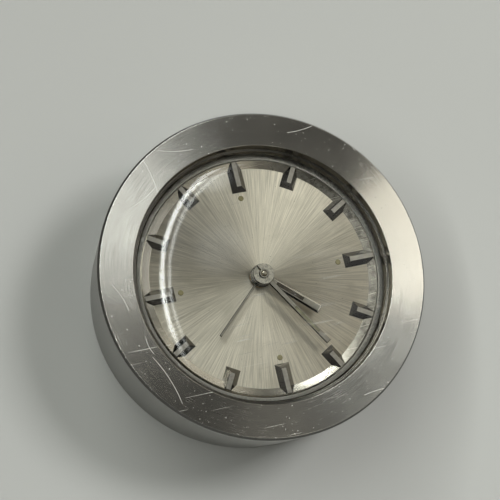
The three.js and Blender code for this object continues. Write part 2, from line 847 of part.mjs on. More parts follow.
function wheelDisc(mesh, low, thickness, turn) {
  const outline = toothedOutline(mesh.wheel, mesh.module, wheelTooth, turn);
  return sheet(outline, low, low + thickness, wheelWindows(wheelRoot(mesh)));
}

// The pinion has a gap where the wheel that drives it, seen at the angle of turn, has a tooth.
function pinionFor(mesh, low, high, turn) {
  const firstLeaf = turn + halfTurn + halfTurn / mesh.pinion;
  return sheet(toothedOutline(mesh.pinion, mesh.module, pinionTooth, firstLeaf), low, high);
}

// A plain arbor between the plates, with a pivot in each of them.
function arbor() {
  return shaft([
    [pivotRadius, backPlateZ + pivotInset],
    [arborRadius, gapZ + shoulderGap],
    [pivotRadius, frontPlateZ - shoulderGap],
  ], ringZ - pivotInset);
}

const thirdWheelZ = gapZ + thirdWheelLift;
const fourthWheelZ = gapZ + fourthWheelLift;
const centreWheelZ = gapZ + centreWheelLift;
const escapeWheelZ = gapZ + escapeWheelLift;
const barrelZ = gapZ + barrelLift;
const barrelTeethZ = barrelZ + barrelHeight - barrelFloor;

const pinionAt = (mesh, wheelZ, thickness, turn) =>
  pinionFor(mesh, wheelZ - pinionOverhang, wheelZ + thickness + pinionOverhang, turn);

const centreArbor = shaft([
  [pivotRadius, backPlateZ + pivotInset],
  [arborRadius, gapZ + shoulderGap],
  [centreArborTopRadius, ringZ],
], centrePinTopZ);

piece("centre_wheel", joined(
  centreArbor,
  pinionAt(barrelMesh, barrelTeethZ, barrelFloor, barrelAngle + halfTurn),
  wheelDisc(centreMesh, centreWheelZ, wheelThickness, thirdAngle),
), brass);

piece("third_wheel", placed(joined(
  arbor(),
  pinionAt(centreMesh, centreWheelZ, wheelThickness, thirdAngle),
  wheelDisc(thirdMesh, thirdWheelZ, wheelThickness, fourthAngle),
), thirdPlace), brass);

piece("fourth_wheel", placed(joined(
  arbor(),
  pinionAt(thirdMesh, thirdWheelZ, wheelThickness, fourthAngle),
  wheelDisc(fourthMesh, fourthWheelZ, wheelThickness, escapeAngle),
), fourthPlace), brass);

piece("escape_wheel", placed(joined(
  arbor(),
  pinionAt(fourthMesh, fourthWheelZ, wheelThickness, escapeAngle),
  sheet(
    pointedOutline(escapeTeeth, escapeRadius, escapeToothDepth, escapeLeanShare, 0),
    escapeWheelZ,
    escapeWheelZ + leverThickness,
  ),
), escapePlace), brass);

// An anchor rocks beside a toothed wheel: two arms whose pallets straddle it, and a hub.
function anchor({ place, wheelPlace, wheelRadius, armWidth, low, high }) {
  const towardsPivot = directionOf([place[0] - wheelPlace[0], place[1] - wheelPlace[1]]);
  const parts = [rod(arborRadius + armWidth / 2, low, high, place, holeSides)];
  [-1, 1].forEach((side) => {
    const angle = towardsPivot + side * palletSpread;
    const nose = polar(wheelPlace, wheelRadius + palletClearance, angle);
    const heel = polar(nose, palletLength, angle);
    const armEnd = polar(nose, palletLength * palletRootShare, angle);
    parts.push(sheet(armOutline(nose, heel, palletWidth, palletWidth), low, high));
    parts.push(sheet(armOutline(place, armEnd, armWidth, armWidth), low, high));
  });
  return joined(...parts);
}

const forkTip = balanceDistance - rollerRadius - forkGap;
const forkTipPlace = polar(palletPlace, forkTip, balanceAngle);
const forkRootPlace = polar(palletPlace, forkTip - leverWidth, balanceAngle);
const forkMouthPlace = polar(forkTipPlace, overrun, balanceAngle);
const leverTopZ = escapeWheelZ + leverThickness;

piece("pallet_lever", cut(joined(
  placed(arbor(), palletPlace),
  anchor({
    place: palletPlace,
    wheelPlace: escapePlace,
    wheelRadius: escapeRadius,
    armWidth: leverWidth,
    low: escapeWheelZ,
    high: leverTopZ,
  }),
  sheet(armOutline(palletPlace, forkTipPlace, leverWidth, forkWidth), escapeWheelZ, leverTopZ),
), sheet(
  armOutline(forkRootPlace, forkMouthPlace, forkSlotWidth, forkMouthWidth),
  escapeWheelZ - overrun,
  leverTopZ + overrun,
)), plainSteel);

// Balance wheel with its staff, two spokes, roller and impulse pin

const balanceZ = gapZ + balanceLift;
const rollerZ = gapZ + rollerLift;
const balanceHole = roundOutline(balanceRadius - balanceRimWidth, rimSides);
const balanceSpokeReach = balanceRadius - balanceRimWidth / 2;
const impulsePinPlace = polar(centre, rollerRadius - impulsePinInset, balanceAngle + halfTurn);

piece("balance_wheel", placed(joined(
  arbor(),
  sheet(roundOutline(balanceRadius, rimSides), balanceZ, balanceZ + balanceRimHeight, [balanceHole]),
  sheet(
    armOutline([-balanceSpokeReach, 0], [balanceSpokeReach, 0], balanceSpokeWidth, balanceSpokeWidth),
    balanceZ,
    balanceZ + balanceRimHeight / 2,
  ),
  rod(balanceHubRadius, balanceZ, balanceZ + balanceRimHeight),
  rod(rollerRadius, rollerZ, rollerZ + rollerThickness),
  rod(impulsePinRadius, rollerZ - impulsePinLength, rollerZ, impulsePinPlace, arborSides),
), balancePlace), brass);

piece("hairspring", hairspring, springSteel);

// Regulator: a ring round the balance's rear bearing, with an arm whose tab shows at the back

const regulatorAngle = directionOf(balancePlace);
const regulatorRingRadius = regulatorBossRadius + runningGap;
const regulatorTabPlace = polar(centre, regulatorReach, regulatorAngle);
const regulatorTopZ = regulatorZ + regulatorThickness;
const regulatorArm = armOutline(centre, regulatorTabPlace, regulatorArmWidth, regulatorArmWidth);

piece("regulator_lever", placed(cut(joined(
  rod(regulatorRingRadius + regulatorRingWidth, regulatorZ, regulatorTopZ),
  sheet(regulatorArm, regulatorZ, regulatorTopZ),
  rod(regulatorTabRadius, coverZ - regulatorTabProud, regulatorTopZ, regulatorTabPlace, arborSides),
), rod(regulatorRingRadius, regulatorZ - overrun, regulatorTopZ + overrun)), balancePlace), plainSteel);

// Barrels: a drum open at the back with a toothed front, round an arbor that carries the
// ratchet, and a mainspring between the arbor and the drum's wall

function barrel(mesh, turn) {
  const outer = wheelRoot(mesh);
  const teeth = toothedOutline(mesh.wheel, mesh.module, wheelTooth, turn);
  return cut(
    joined(
      sheet(teeth, barrelTeethZ, barrelTeethZ + barrelFloor),
      rod(outer, barrelZ, barrelTeethZ + barrelFloor / 2, centre, rimSides),
    ),
    rod(outer - barrelWall, barrelZ - overrun, barrelTeethZ, centre, rimSides),
    rod(windingArborRadius + runningGap, barrelZ, barrelTeethZ + overrun),
  );
}

function mainspring(mesh) {
  const inner = windingArborRadius + fitGap + mainspringThickness / 2;
  const outer = wheelRoot(mesh) - barrelWall - fitGap - mainspringThickness / 2;
  return sheet(
    spiralOutline(inner, outer, mainspringThickness, mainspringTurns, 0),
    barrelZ + mainspringSideGap,
    barrelTeethZ - mainspringSideGap,
  );
}

const keyTopZ = coverZ - coverGap;
const arborEndZ = keyTopZ - keySeatDepth + fitGap;

function windingArbor() {
  return joined(
    shaft([
      [windingEndRadius, arborEndZ],
      [windingArborRadius, ratchetZ],
      [windingPivotRadius, frontPlateZ - shoulderGap],
    ], ringZ - pivotInset, bossSides),
    sheet(
      pointedOutline(ratchetTeeth, ratchetRadius, ratchetToothDepth, ratchetLeanShare, 0),
      ratchetZ,
      ratchetZ + ratchetThickness,
    ),
  );
}

// A click turns on its stud and points at the ratchet's edge from one side.
function click(place, ratchetPlace, angle) {
  const tip = polar(ratchetPlace, ratchetRadius + clickClearance, angle + clickLead);
  return cut(
    joined(
      rod(clickRadius, ratchetZ, ratchetZ + ratchetThickness, place, holeSides),
      sheet(armOutline(place, tip, clickRadius, clickTipWidth), ratchetZ, ratchetZ + ratchetThickness),
    ),
    rod(clickStudRadius + runningGap, ratchetZ - overrun, ratchetZ + overrun, place, arborSides),
  );
}

piece("time_barrel", placed(barrel(barrelMesh, barrelAngle + halfTurn), barrelPlace), brass);
piece("time_mainspring", placed(mainspring(barrelMesh), barrelPlace), springSteel);
piece("time_winding_arbor", placed(windingArbor(), barrelPlace), plainSteel);
piece("time_click", click(timeClickPlace, barrelPlace, timeClickAngle), plainSteel);
piece("alarm_barrel", placed(barrel(strikeMesh, strikeAngle), alarmBarrelPlace), brass);
piece("alarm_mainspring", placed(mainspring(strikeMesh), alarmBarrelPlace), springSteel);
piece("alarm_winding_arbor", placed(windingArbor(), alarmBarrelPlace), plainSteel);
piece("alarm_click", click(alarmClickPlace, alarmBarrelPlace, alarmClickAngle), plainSteel);

// Striking work: a toothed wheel whose teeth rock the hammer

const strikeWheelZ = gapZ + strikeWheelLift;
const strikeTopZ = strikeWheelZ + wheelThickness;

piece("strike_wheel", placed(joined(
  arbor(),
  pinionAt(strikeMesh, barrelTeethZ, barrelFloor, strikeAngle),
  sheet(
    pointedOutline(strikeTeeth, strikeRadius, strikeToothDepth, strikeLeanShare, 0),
    strikeWheelZ,
    strikeTopZ,
  ),
), strikePlace), brass);

piece("alarm_hammer", joined(
  placed(arbor(), hammerPlace),
  anchor({
    place: hammerPlace,
    wheelPlace: strikePlace,
    wheelRadius: strikeRadius,
    armWidth: leverWidth,
    low: strikeWheelZ,
    high: strikeTopZ,
  }),
  sheet(armOutline(hammerPlace, hammerHeadPlace, hammerArmWidth, hammerArmWidth), strikeWheelZ, strikeTopZ),
  rod(hammerHeadRadius, strikeWheelZ, strikeWheelZ + hammerHeadHeight, hammerHeadPlace, holeSides),
), plainSteel);

// Motion work, between the front plate and the dial

const minuteWheelZ = ringZ + shoulderGap;
const minuteWheelTopZ = minuteWheelZ + motionWheelThickness;
const hourWheelZ = minuteWheelTopZ + motionWheelThickness;
const hourWheelTopZ = hourWheelZ + motionWheelThickness;
const alarmWheelZ = hourWheelTopZ + pinionOverhang;
const alarmWheelTopZ = alarmWheelZ + motionWheelThickness;

const cannonBlank = joined(
  rod(cannonPipeRadius, minuteWheelZ, cannonTopZ),
  pinionFor(minuteMesh, minuteWheelZ, minuteWheelTopZ, minuteWheelAngle + halfTurn),
);
const cannonBore = centreArborTopRadius + pivotClearance;
piece("cannon_pinion", cut(
  cannonBlank,
  rod(cannonBore, minuteWheelZ - overrun, cannonTopZ + overrun, centre, arborSides),
), plainSteel);

const knobTopZ = coverZ - coverGap;
const setArborEndZ = knobTopZ - knobSeatDepth + fitGap;

piece("minute_wheel", placed(joined(
  shaft([[setArborRadius, setArborEndZ]], hourWheelTopZ),
  wheelDisc(minuteMesh, minuteWheelZ, motionWheelThickness, minuteWheelAngle + halfTurn),
  pinionFor(hourMesh, minuteWheelTopZ, hourWheelTopZ, minuteWheelAngle),
), minuteWheelPlace), brass);

const alarmLugPlace = polar(centre, alarmLugDistance, minuteWheelAngle);

piece("hour_wheel", cut(
  joined(
    wheelDisc(hourMesh, hourWheelZ, motionWheelThickness, minuteWheelAngle),
    rod(hourPipeRadius, hourWheelZ, hourBossZ + bossThickness),
    rod(alarmLugRadius, hourWheelZ, hourWheelTopZ + alarmLugHeight, alarmLugPlace, arborSides),
  ),
  rod(hourPipeBore, hourWheelZ - overrun, hourBossZ + bossThickness + overrun),
), brass);

piece("alarm_wheel", cut(
  joined(
    wheelDisc(alarmSetMesh, alarmWheelZ, motionWheelThickness, alarmSetAngle),
    rod(alarmPipeRadius, alarmWheelZ, alarmBossZ + bossThickness),
  ),
  rod(alarmPipeBore, alarmWheelZ - overrun, alarmBossZ + bossThickness + overrun),
), brass);

piece("alarm_set_arbor", placed(joined(
  shaft([[setArborRadius, setArborEndZ]], alarmWheelTopZ),
  pinionFor(alarmSetMesh, alarmWheelZ, alarmWheelTopZ, alarmSetAngle),
), alarmSetPlace), brass);

// Release spring: a flat leaf with a fork that presses on the hour wheel from below

const releaseSpringZ = ringZ + releaseSpringLift;
const releaseStudPlace = polar(centre, releaseSpringLength, releaseSpringAngle);
const releaseFork = roundOutline(hourPipeRadius + releaseSpringWidth, bossSides);

piece("alarm_release_spring", cut(
  joined(
    sheet(
      armOutline(releaseStudPlace, centre, releaseSpringRootWidth, releaseSpringWidth),
      releaseSpringZ,
      releaseSpringZ + releaseSpringThickness,
    ),
    sheet(releaseFork, releaseSpringZ, releaseSpringZ + releaseSpringThickness),
    rod(releaseStudRadius, ringZ, releaseSpringZ + releaseSpringThickness, releaseStudPlace, holeSides),
  ),
  rod(hourPipeRadius, releaseSpringZ - overrun, releaseSpringZ + overrun),
), springSteel);

// Back cover: a recessed disc with a turned-up rim, holes for the keys, knobs, button and
// screws, a curved slot for the regulator and the post that the hammer strikes

function slotOutline(place, radius, halfWidth, angle, halfSwing) {
  const outline = [];
  for (let i = -slotSteps; i <= slotSteps; i += 1) {
    outline.push(polar(place, radius + halfWidth, angle + (halfSwing * i) / slotSteps));
  }
  for (let i = slotSteps; i >= -slotSteps; i -= 1) {
    outline.push(polar(place, radius - halfWidth, angle + (halfSwing * i) / slotSteps));
  }
  return outline;
}

const coverRadius = innerRadiusAt(coverZ) - fitGap;
const slotHalfWidth = regulatorTabRadius + fitGap;
const slotHalfSwing = regulatorSwing + THREE.MathUtils.radToDeg(slotHalfWidth / regulatorReach);
const coverDisc = sheet(roundOutline(coverRadius, caseSides), coverZ, coverTopZ, [
  ...barrelPlaces.map((place) => roundOutline(windingHole, holeSides, place)),
  ...[minuteWheelPlace, alarmSetPlace].map((place) => roundOutline(setHole, holeSides, place)),
  ...coverPostPlaces.map((place) => roundOutline(coverScrewHole, arborSides, place)),
  roundOutline(buttonStemRadius + fitGap, holeSides, buttonPlace),
  slotOutline(balancePlace, regulatorReach, slotHalfWidth, regulatorAngle, slotHalfSwing),
]);
const coverRim = sheet(roundOutline(coverRadius, caseSides), coverZ, coverTopZ + coverRimHeight, [
  roundOutline(coverRadius - coverRimThickness, caseSides),
]);
const gongPost = rod(gongPostRadius, coverZ, gapZ + gongPostHeight, gongPostPlace, holeSides);

piece("back_cover", joined(coverDisc, coverRim, gongPost), brushedSteel);

coverPostPlaces.forEach((place, i) => {
  const screw = shaft([
    [coverScrewHeadRadius, coverZ - coverScrewHeadHeight],
    [coverScrewRadius, coverZ],
  ], backPlateZ - pivotInset, bossSides);
  piece(`cover_screw_${i + 1}`, placed(screw, place), plainSteel);
});

// Winding keys: two round wings with an eye each, standing on a hub

function windingKey() {
  const wingRadius = (keyTopZ - keyHubHeight - floorGap) / 2;
  const wingZ = floorGap + wingRadius;
  const wingX = keyWidth / 2 - wingRadius;
  const eyes = [-wingX, wingX].map((x) => roundOutline(keyEyeRadius, holeSides, [x, wingZ]));
  const wings = [-wingX, wingX].map((x) => roundOutline(wingRadius, bossSides, [x, wingZ]));
  const web = [
    [-wingX, wingZ - wingRadius / 2],
    [wingX, wingZ - wingRadius / 2],
    [keyHubRadius, keyTopZ - keyHubHeight / 2],
    [-keyHubRadius, keyTopZ - keyHubHeight / 2],
  ];
  const half = keyThickness / 2;
  const flat = joined(...[web, ...wings].map((outline) => sheet(outline, -half, half)));
  const eyeCutters = eyes.map((outline) => sheet(outline, -overrun - half, overrun + half));
  const standing = cut(flat, ...eyeCutters).rotate([quarterTurn, 0, 0]);
  const hub = rod(keyHubRadius, keyTopZ - keySeatDepth - fitGap, keyTopZ);
  const seat = rod(windingEndRadius + runningGap, keyTopZ - keySeatDepth, keyTopZ + overrun);
  return cut(joined(standing, hub), seat);
}

piece("time_key", placed(windingKey(), barrelPlace), plainSteel);
piece("alarm_key", placed(windingKey(), alarmBarrelPlace), plainSteel);

// Setting knobs: fluted, on the ends of the setting arbors

function settingKnob() {
  const outline = [];
  for (let i = 0; i < 2 * knobFlutes; i += 1) {
    const radius = i % 2 === 0 ? knobRadius : knobRadius - knobFluteDepth;
    outline.push(polar(centre, radius, (halfTurn * i) / knobFlutes));
  }
  const seatRadius = setArborRadius + runningGap;
  const seat = rod(seatRadius, knobTopZ - knobSeatDepth, knobTopZ + overrun, centre, arborSides);
  return cut(sheet(outline, knobTopZ - knobHeight, knobTopZ), seat);
}

piece("time_set_knob", placed(settingKnob(), minuteWheelPlace), plainSteel);
piece("alarm_set_knob", placed(settingKnob(), alarmSetPlace), plainSteel);

// Alarm stop button: pushed in, its stem presses on the hammer's arm

const buttonTopZ = coverZ - buttonTravel - buttonOut;
const stemTopZ = strikeWheelZ - fitGap - buttonTravel;

piece("alarm_stop_button", placed(shaft([
  [buttonRadius, buttonTopZ - buttonHeight],
  [buttonStemRadius, buttonTopZ],
], stemTopZ, bossSides), buttonPlace), plainSteel);

export default clock;
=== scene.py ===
from math import asin, cos, hypot, radians, sin
import bpy
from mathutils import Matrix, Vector


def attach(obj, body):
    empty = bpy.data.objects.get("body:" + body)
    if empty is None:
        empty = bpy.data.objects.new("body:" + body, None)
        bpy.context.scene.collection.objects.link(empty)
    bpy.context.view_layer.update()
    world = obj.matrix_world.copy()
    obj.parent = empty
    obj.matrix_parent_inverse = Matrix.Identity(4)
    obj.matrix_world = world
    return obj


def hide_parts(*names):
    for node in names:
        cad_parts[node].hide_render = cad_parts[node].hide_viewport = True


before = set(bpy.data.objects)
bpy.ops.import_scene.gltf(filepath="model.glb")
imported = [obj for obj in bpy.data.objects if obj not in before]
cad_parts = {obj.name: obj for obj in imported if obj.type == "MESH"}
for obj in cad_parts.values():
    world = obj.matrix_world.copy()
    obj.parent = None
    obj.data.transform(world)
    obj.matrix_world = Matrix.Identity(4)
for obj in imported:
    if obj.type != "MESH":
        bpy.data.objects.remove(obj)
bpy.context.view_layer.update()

MM = 0.001
bpy.context.scene.view_settings.view_transform = "Standard"

# ----
# Camera: looks down on the dial from in front of its seven and eight, with the twelve leaning
# a little to the left.

CAMERA_PLACE = (-0.10626, -0.06842, 0.40596)
CAMERA_TURN = (13.991, -12.411, -13.861)
SENSOR_WIDTH, LENS = 36, 132.77

camera_data = bpy.data.cameras.new("camera")
camera_data.sensor_width = SENSOR_WIDTH
camera_data.lens = LENS
camera = bpy.data.objects.new("camera", camera_data)
camera.location = CAMERA_PLACE
camera.rotation_euler = [radians(turn) for turn in CAMERA_TURN]
bpy.context.scene.collection.objects.link(camera)
bpy.context.scene.camera = camera

# ----
# Floor: one large pale sheet of matt board that the clock lies on. It is seen from above only,
# and it is open under the clock's rear recess, so that the back gets light from below.

FLOOR_SIZE, FLOOR_OPENING, FLOOR_CLOUD, FLOOR_ROUGHNESS = 6, 34.4, 7, 0.85
FLOOR_COLOURS = ((0.43, 0.435, 0.415), (0.455, 0.46, 0.44))
CLOUD_DETAIL, SMUDGE_DETAIL, SMUDGE_ROUGHNESS = 3, 4, 0.6
HAIRLINE_DETAIL, HAIRLINE_ROUGHNESS, HAIRLINE_EDGE = 1, 0.4, 0.03
SCRATCH_CORE, SCRATCH_FADE = 0.4, 0.15


class Amount:
    """A value that varies over a surface. A sum on it adds the nodes that work it out."""

    def __init__(self, finish, socket):
        self.finish = finish
        self.socket = socket

    def __add__(self, other):
        return self.finish.maths("ADD", self, other)

    __radd__ = __add__

    def __sub__(self, other):
        return self.finish.maths("SUBTRACT", self, other)

    def __rsub__(self, other):
        return self.finish.maths("SUBTRACT", other, self)

    def __mul__(self, other):
        return self.finish.maths("MULTIPLY", self, other)

    __rmul__ = __mul__

    def __truediv__(self, other):
        return self.finish.maths("DIVIDE", self, other)

    def __pow__(self, other):
        return self.finish.maths("POWER", self, other)


class Finish:
    """The nodes of one material. Colours come in pairs, the dark one first."""

    def __init__(self, name, tree=None):
        if tree is None:
            self.material = bpy.data.materials.new(name)
            self.material.use_nodes = True
            tree = self.material.node_tree
        self.tree = tree
        self.spot = None
        tree.nodes.clear()

    def node(self, kind, values=(), output=0, **settings):
        """Adds a shader node, sets its settings first, then links or sets its inputs."""
        made = self.tree.nodes.new("ShaderNode" + kind)
        for name, value in settings.items():
            if name == "stops":
                marks = made.color_ramp.elements
                for place, colour in value:
                    mark = marks[0] if place == 0 else marks[-1] if place == 1 else marks.new(place)
                    mark.color = (*colour, 1)
            else:
                setattr(made, name, value)
        pairs = values.items() if isinstance(values, dict) else enumerate(values)
        for name, value in pairs:
            socket = made.inputs[name]
            if isinstance(value, Amount):
                self.tree.links.new(value.socket, socket)
            else:
                socket.default_value = (*value, 1) if socket.type == "RGBA" else value
        return Amount(self, made.outputs[output]) if made.outputs else None

    def maths(self, operation, *values):
        return self.node("Math", values, operation=operation)

    def greatest(self, first, *others):
        for other in others:
            first = self.maths("MAXIMUM", first, other)
        return first

    def part_of(self, vector, axis):
        return self.node("SeparateXYZ", [vector], axis)

    def place(self):
        """Where a point is on the object, in metres."""
        if self.spot is None:
            self.spot = self.node("TexCoord", output="Object")
        return self.spot

    def out_from(self, middle=(0, 0)):
        """How far a point is across, up and out from an upright axis."""
        across, up = [self.part_of(self.place(), axis) - middle[axis] * MM for axis in (0, 1)]
        return across, up, self.maths("SQRT", across * across + up * up)

    def rise(self, value, low, high, least=0.0, most=1.0):
        """Goes smoothly from least to most as the value goes from low to high."""
        names = ["Value", "From Min", "From Max", "To Min", "To Max"]
        values = dict(zip(names, [value, low, high, least, most]))
        return self.node("MapRange", values, interpolation_type="SMOOTHSTEP")

    def noise(self, scale, detail=2.0, roughness=0.5, vector=None):
        """Even patches, the finer the greater their scale."""
        values = {"Scale": scale, "Detail": detail, "Roughness": roughness}
        return self.node("TexNoise", {"Vector": vector or self.place(), **values})

    def cloud(self, scale):
        """Soft patches."""
        return self.noise(scale, CLOUD_DETAIL)

    def smudge(self, scale):
        """Ragged patches, as tarnish leaves them."""
        return self.noise(scale, SMUDGE_DETAIL, SMUDGE_ROUGHNESS)

    def drawn(self, scales, detail=2.0, roughness=0.5, turn=0, vector=None):
        """Noise scaled by its own amount along each axis. A turn picks another part of the noise."""
        stretched = self.node("Mapping", {
            "Vector": vector or self.place(), "Rotation": (0, 0, radians(turn)), "Scale": scales})
        return self.noise(1, detail, roughness, stretched)

    def hairlines(self, turn, along, across, share):
        """Fine straight scratches from nine to three: 1 on a scratch and 0 beside it."""
        drawn = self.drawn((along, across, along), HAIRLINE_DETAIL, HAIRLINE_ROUGHNESS, turn)
        return self.rise(drawn, share, share + HAIRLINE_EDGE)

    def arc_scratch(self, middle, radius, width, start, reach):
        """One long curved scratch: 1 on it, fading out at its two ends."""
        over, up, out = self.out_from(middle)
        radius, width = radius * MM, width * MM
        along = over * cos(radians(start)) + up * sin(radians(start))
        ends = self.rise(along, radius * cos(radians(reach)), radius)
        line = self.rise(self.maths("ABSOLUTE", out - radius), width * SCRATCH_CORE, width, 1.0, 0.0)
        return line * self.rise(ends, 0.0, SCRATCH_FADE)

    def mixed(self, share, first, second):
        """A colour between two colours."""
        return self.node("Mix", {0: share, 6: first, 7: second}, 2, data_type="RGBA")

    def bumped(self, height, depth, under=None):
        """A surface raised by a height of 0 to 1 times a depth in millimetres, over another."""
        values = {"Height": height, "Distance": depth * MM}
        return self.node("Bump", {**values, "Normal": under} if under else values)

    def shown(self, shader):
        """Makes a shader the material's surface."""
        self.node("OutputMaterial", {"Surface": shader})
        return self.material

    def solid(self, **values):
        """Makes a principled surface, with the inputs' names in small letters."""
        named = {name.replace("_", " ").title(): value for name, value in values.items()}
        return self.shown(self.node("BsdfPrincipled", named))

    def metal(self, colours, tone, rough, rougher=0.0, lines=None, lined=0.0, depth=0.0, **others):
        """Makes a metal. Its colour and roughness follow a tone, and its lines have a depth."""
        roughness = rough + tone * rougher
        if lines:
            roughness = roughness + lines * lined
        if depth:
            others["normal"] = self.bumped(lines, depth)
        return self.solid(
            base_color=self.mixed(tone, *colours), metallic=1.0, roughness=roughness, **others)


def nothing_chosen():
    """Leaves every object unselected, the imported nodes among them."""
    if bpy.context.object and bpy.context.object.mode != "OBJECT":
        bpy.ops.object.mode_set(mode="OBJECT")
    bpy.ops.object.select_all(action="DESELECT")


def settled(name):
    """Names the active piece, and moves its place from the object into the mesh."""
    bpy.ops.object.transform_apply(location=True, rotation=True, scale=True)
    piece = bpy.context.object
    piece.name = name
    piece.data.name = name
    return piece


board = Finish("matt_board")
board_paint = board.node("BsdfDiffuse", {
    "Color": board.mixed(board.cloud(FLOOR_CLOUD), *FLOOR_COLOURS), "Roughness": FLOOR_ROUGHNESS})
board_opening = board.maths("LESS_THAN", board.out_from()[2], FLOOR_OPENING * MM)
board_back = board.greatest(board.node("NewGeometry", output="Backfacing"), board_opening)
board_clear = board.node("BsdfTransparent")
board.shown(board.node("MixShader", [board_back, board_paint, board_clear]))

nothing_chosen()
bpy.ops.mesh.primitive_plane_add(size=FLOOR_SIZE)
floor = settled("floor")
floor.data.materials.append(board.material)

# ----
# Light: a room that is dark overhead and pale towards the floor, with soft windows all round
# the dial and two narrow bright bands behind its ten and eleven. A small near lamp at the upper
# right draws the hands' shadows, and two broad lamps light the sides and the matt surfaces.

# Each lamp: azimuth, elevation, distance in metres, size in metres, power.
LOW_LAMP = (-5, 34, 0.8, (0.5, 0.5), 0.5)
MATT_LAMP = (16, 56, 1.6, (0.45, 0.45), 16.5)
KEY_LAMP = (14, 56, 0.19, (0.06, 0.035), 0.0205)
ROOM_STOPS = [
    (0, (0.36, 0.36, 0.35)), (0.3, (0.22, 0.22, 0.21)), (0.6, (0.045, 0.045, 0.043)),
    (1, (0.035, 0.035, 0.033)),
]
ROOM_BRIGHT_SIDE, ROOM_DARK_SHARE, ROOM_SIDE_REACH = 55, 0.55, 0.7
WALL_COLOUR = (0.45, 0.455, 0.435)
WARM, COOL = (1, 0.96, 0.85), (0.97, 1, 0.97)
# Each window: azimuth, elevation, reach in degrees, strength, colour.
WINDOWS = [
    (14, 40, 26, 0.15, WARM), (50, 36, 17, 0.25, WARM), (-32, 46, 15, 0.8, WARM),
    (-65, 40, 16, 0.6, WARM), (-69, 62, 14, 1.2, WARM), (40, 15, 24, 0.8, WARM),
    (109, 56, 22, 0.8, COOL), (99, 66, 17, 2.0, COOL), (86, 27, 10, 4.5, COOL),
    (200, -50, 50, 1.2, COOL), (20, -65, 45, 0.9, WARM),
]
WINDOW_SOFT_SHARE = 0.1
BAND_AXIS, BAND_MIDDLE, BAND_REACH, BAND_SOFT_SHARE = (0, 60.3), (128, 48), 62, 0.35
# Each band: angle from the axis and depth in degrees, strength.
BANDS = [(67.8, 1.7, 30.0), (64.2, 1.3, 10.0)]
HALO_LOW, HALO_HIGH, HALO_WIDTH, HALO_STRENGTH = -0.02, 0.01, 0.26, 0.7


def cosine(degrees):
    return cos(radians(degrees))


def towards(side, height):
    """The direction of an azimuth and an elevation."""
    around, above = radians(side), radians(height)
    flat = cos(above)
    return Vector((flat * cos(around), flat * sin(around), sin(above)))


def soft_lamp(name, side, height, distance, size, power):
    """A flat lamp that faces the clock."""
    data = bpy.data.lights.new(name, "AREA")
    data.shape = "RECTANGLE"
    data.size, data.size_y = size
    data.energy = power
    lamp = bpy.data.objects.new(name, data)
    lamp.location = towards(side, height) * distance
    lamp.rotation_euler = towards(side, height).to_track_quat("Z", "Y").to_euler()
    bpy.context.scene.collection.objects.link(lamp)
    return lamp


soft_lamp("low_lamp", *LOW_LAMP)
matt_lamp = soft_lamp("matt_lamp", *MATT_LAMP)
matt_lamp.visible_glossy = False
key_lamp = soft_lamp("key_lamp", *KEY_LAMP)
key_lamp.visible_camera = False
key_lamp.data.color = WARM

world = bpy.data.worlds.new("room")
bpy.context.scene.world = world
world.use_nodes = True
room = Finish("room", world.node_tree)
room_way = room.node("TexCoord", output="Generated")
room_colour = room.node("ValToRGB", [room.part_of(room_way, 2)], stops=ROOM_STOPS)


def nearness(direction):
    """The cosine between a way out of the scene and a direction."""
    return room.node("VectorMath", [room_way, direction], 1, operation="DOT_PRODUCT")


def lit(colour, strength):
    return room.node("Background", {"Color": colour, "Strength": strength})


def added(first, second):
    return room.node("AddShader", [first, second])


room_side = room.rise(
    nearness(towards(ROOM_BRIGHT_SIDE, 0)), -ROOM_SIDE_REACH, ROOM_SIDE_REACH, ROOM_DARK_SHARE, 1.0)
room_light = lit(room_colour, room_side)
for side, height, reach, strength, colour in WINDOWS:
    soft_from = cosine(reach * WINDOW_SOFT_SHARE)
    glow = room.rise(nearness(towards(side, height)), cosine(reach), soft_from)
    room_light = added(room_light, lit(colour, glow * strength))
band_side = nearness(towards(*BAND_AXIS))
band_off = band_side - cosine(BANDS[0][0])
band_halo = room.rise(band_off, HALO_LOW, HALO_HIGH) * room.rise(band_off, 0.0, HALO_WIDTH, 1.0, 0.0)
band_glow = band_halo * HALO_STRENGTH
for angle, depth, strength in BANDS:
    off = room.maths("ABSOLUTE", band_side - cosine(angle))
    band_glow = band_glow + room.rise(off, 0, radians(depth), 1.0, 0.0) * strength
band_soft_from = cosine(BAND_REACH * BAND_SOFT_SHARE)
band_ends = room.rise(nearness(towards(*BAND_MIDDLE)), cosine(BAND_REACH), band_soft_from)
room_light = added(room_light, lit(COOL, band_ends * band_glow))
room_seen = room.node("LightPath", output="Is Camera Ray")
room_whole = room.node("MixShader", [room_seen, room_light, lit(WALL_COLOUR, 1.0)])
room.node("OutputWorld", {"Surface": room_whole})

# ----
# Case drum: a turned steel tube that narrows towards the rear, with a ledge inside for the
# movement. Its wall is satin finished on the lathe.

DRUM_PROFILE = [
    (34.495, 0), (36.495, 25.6), (34.895, 25.6), (34.356, 18.7),
    (31.456, 18.7), (31.456, 17.5), (34.262, 17.5), (32.895, 0),
]
DRUM_EDGE, TURNED_ANGLE, SHARP_ANGLE, LATHE_SIDES = 0.12, 12, 40, 192
DRUM_LINES = (60, 60, 9000)
DRUM_COLOURS = ((0.3, 0.295, 0.28), (0.4, 0.395, 0.375))


def metres(*sizes):
    """Sizes in millimetres, given in metres."""
    return [size * MM for size in sizes]


def chosen(piece):
    """Leaves one piece selected and active."""
    nothing_chosen()
    piece.select_set(True)
    bpy.context.view_layer.objects.active = piece


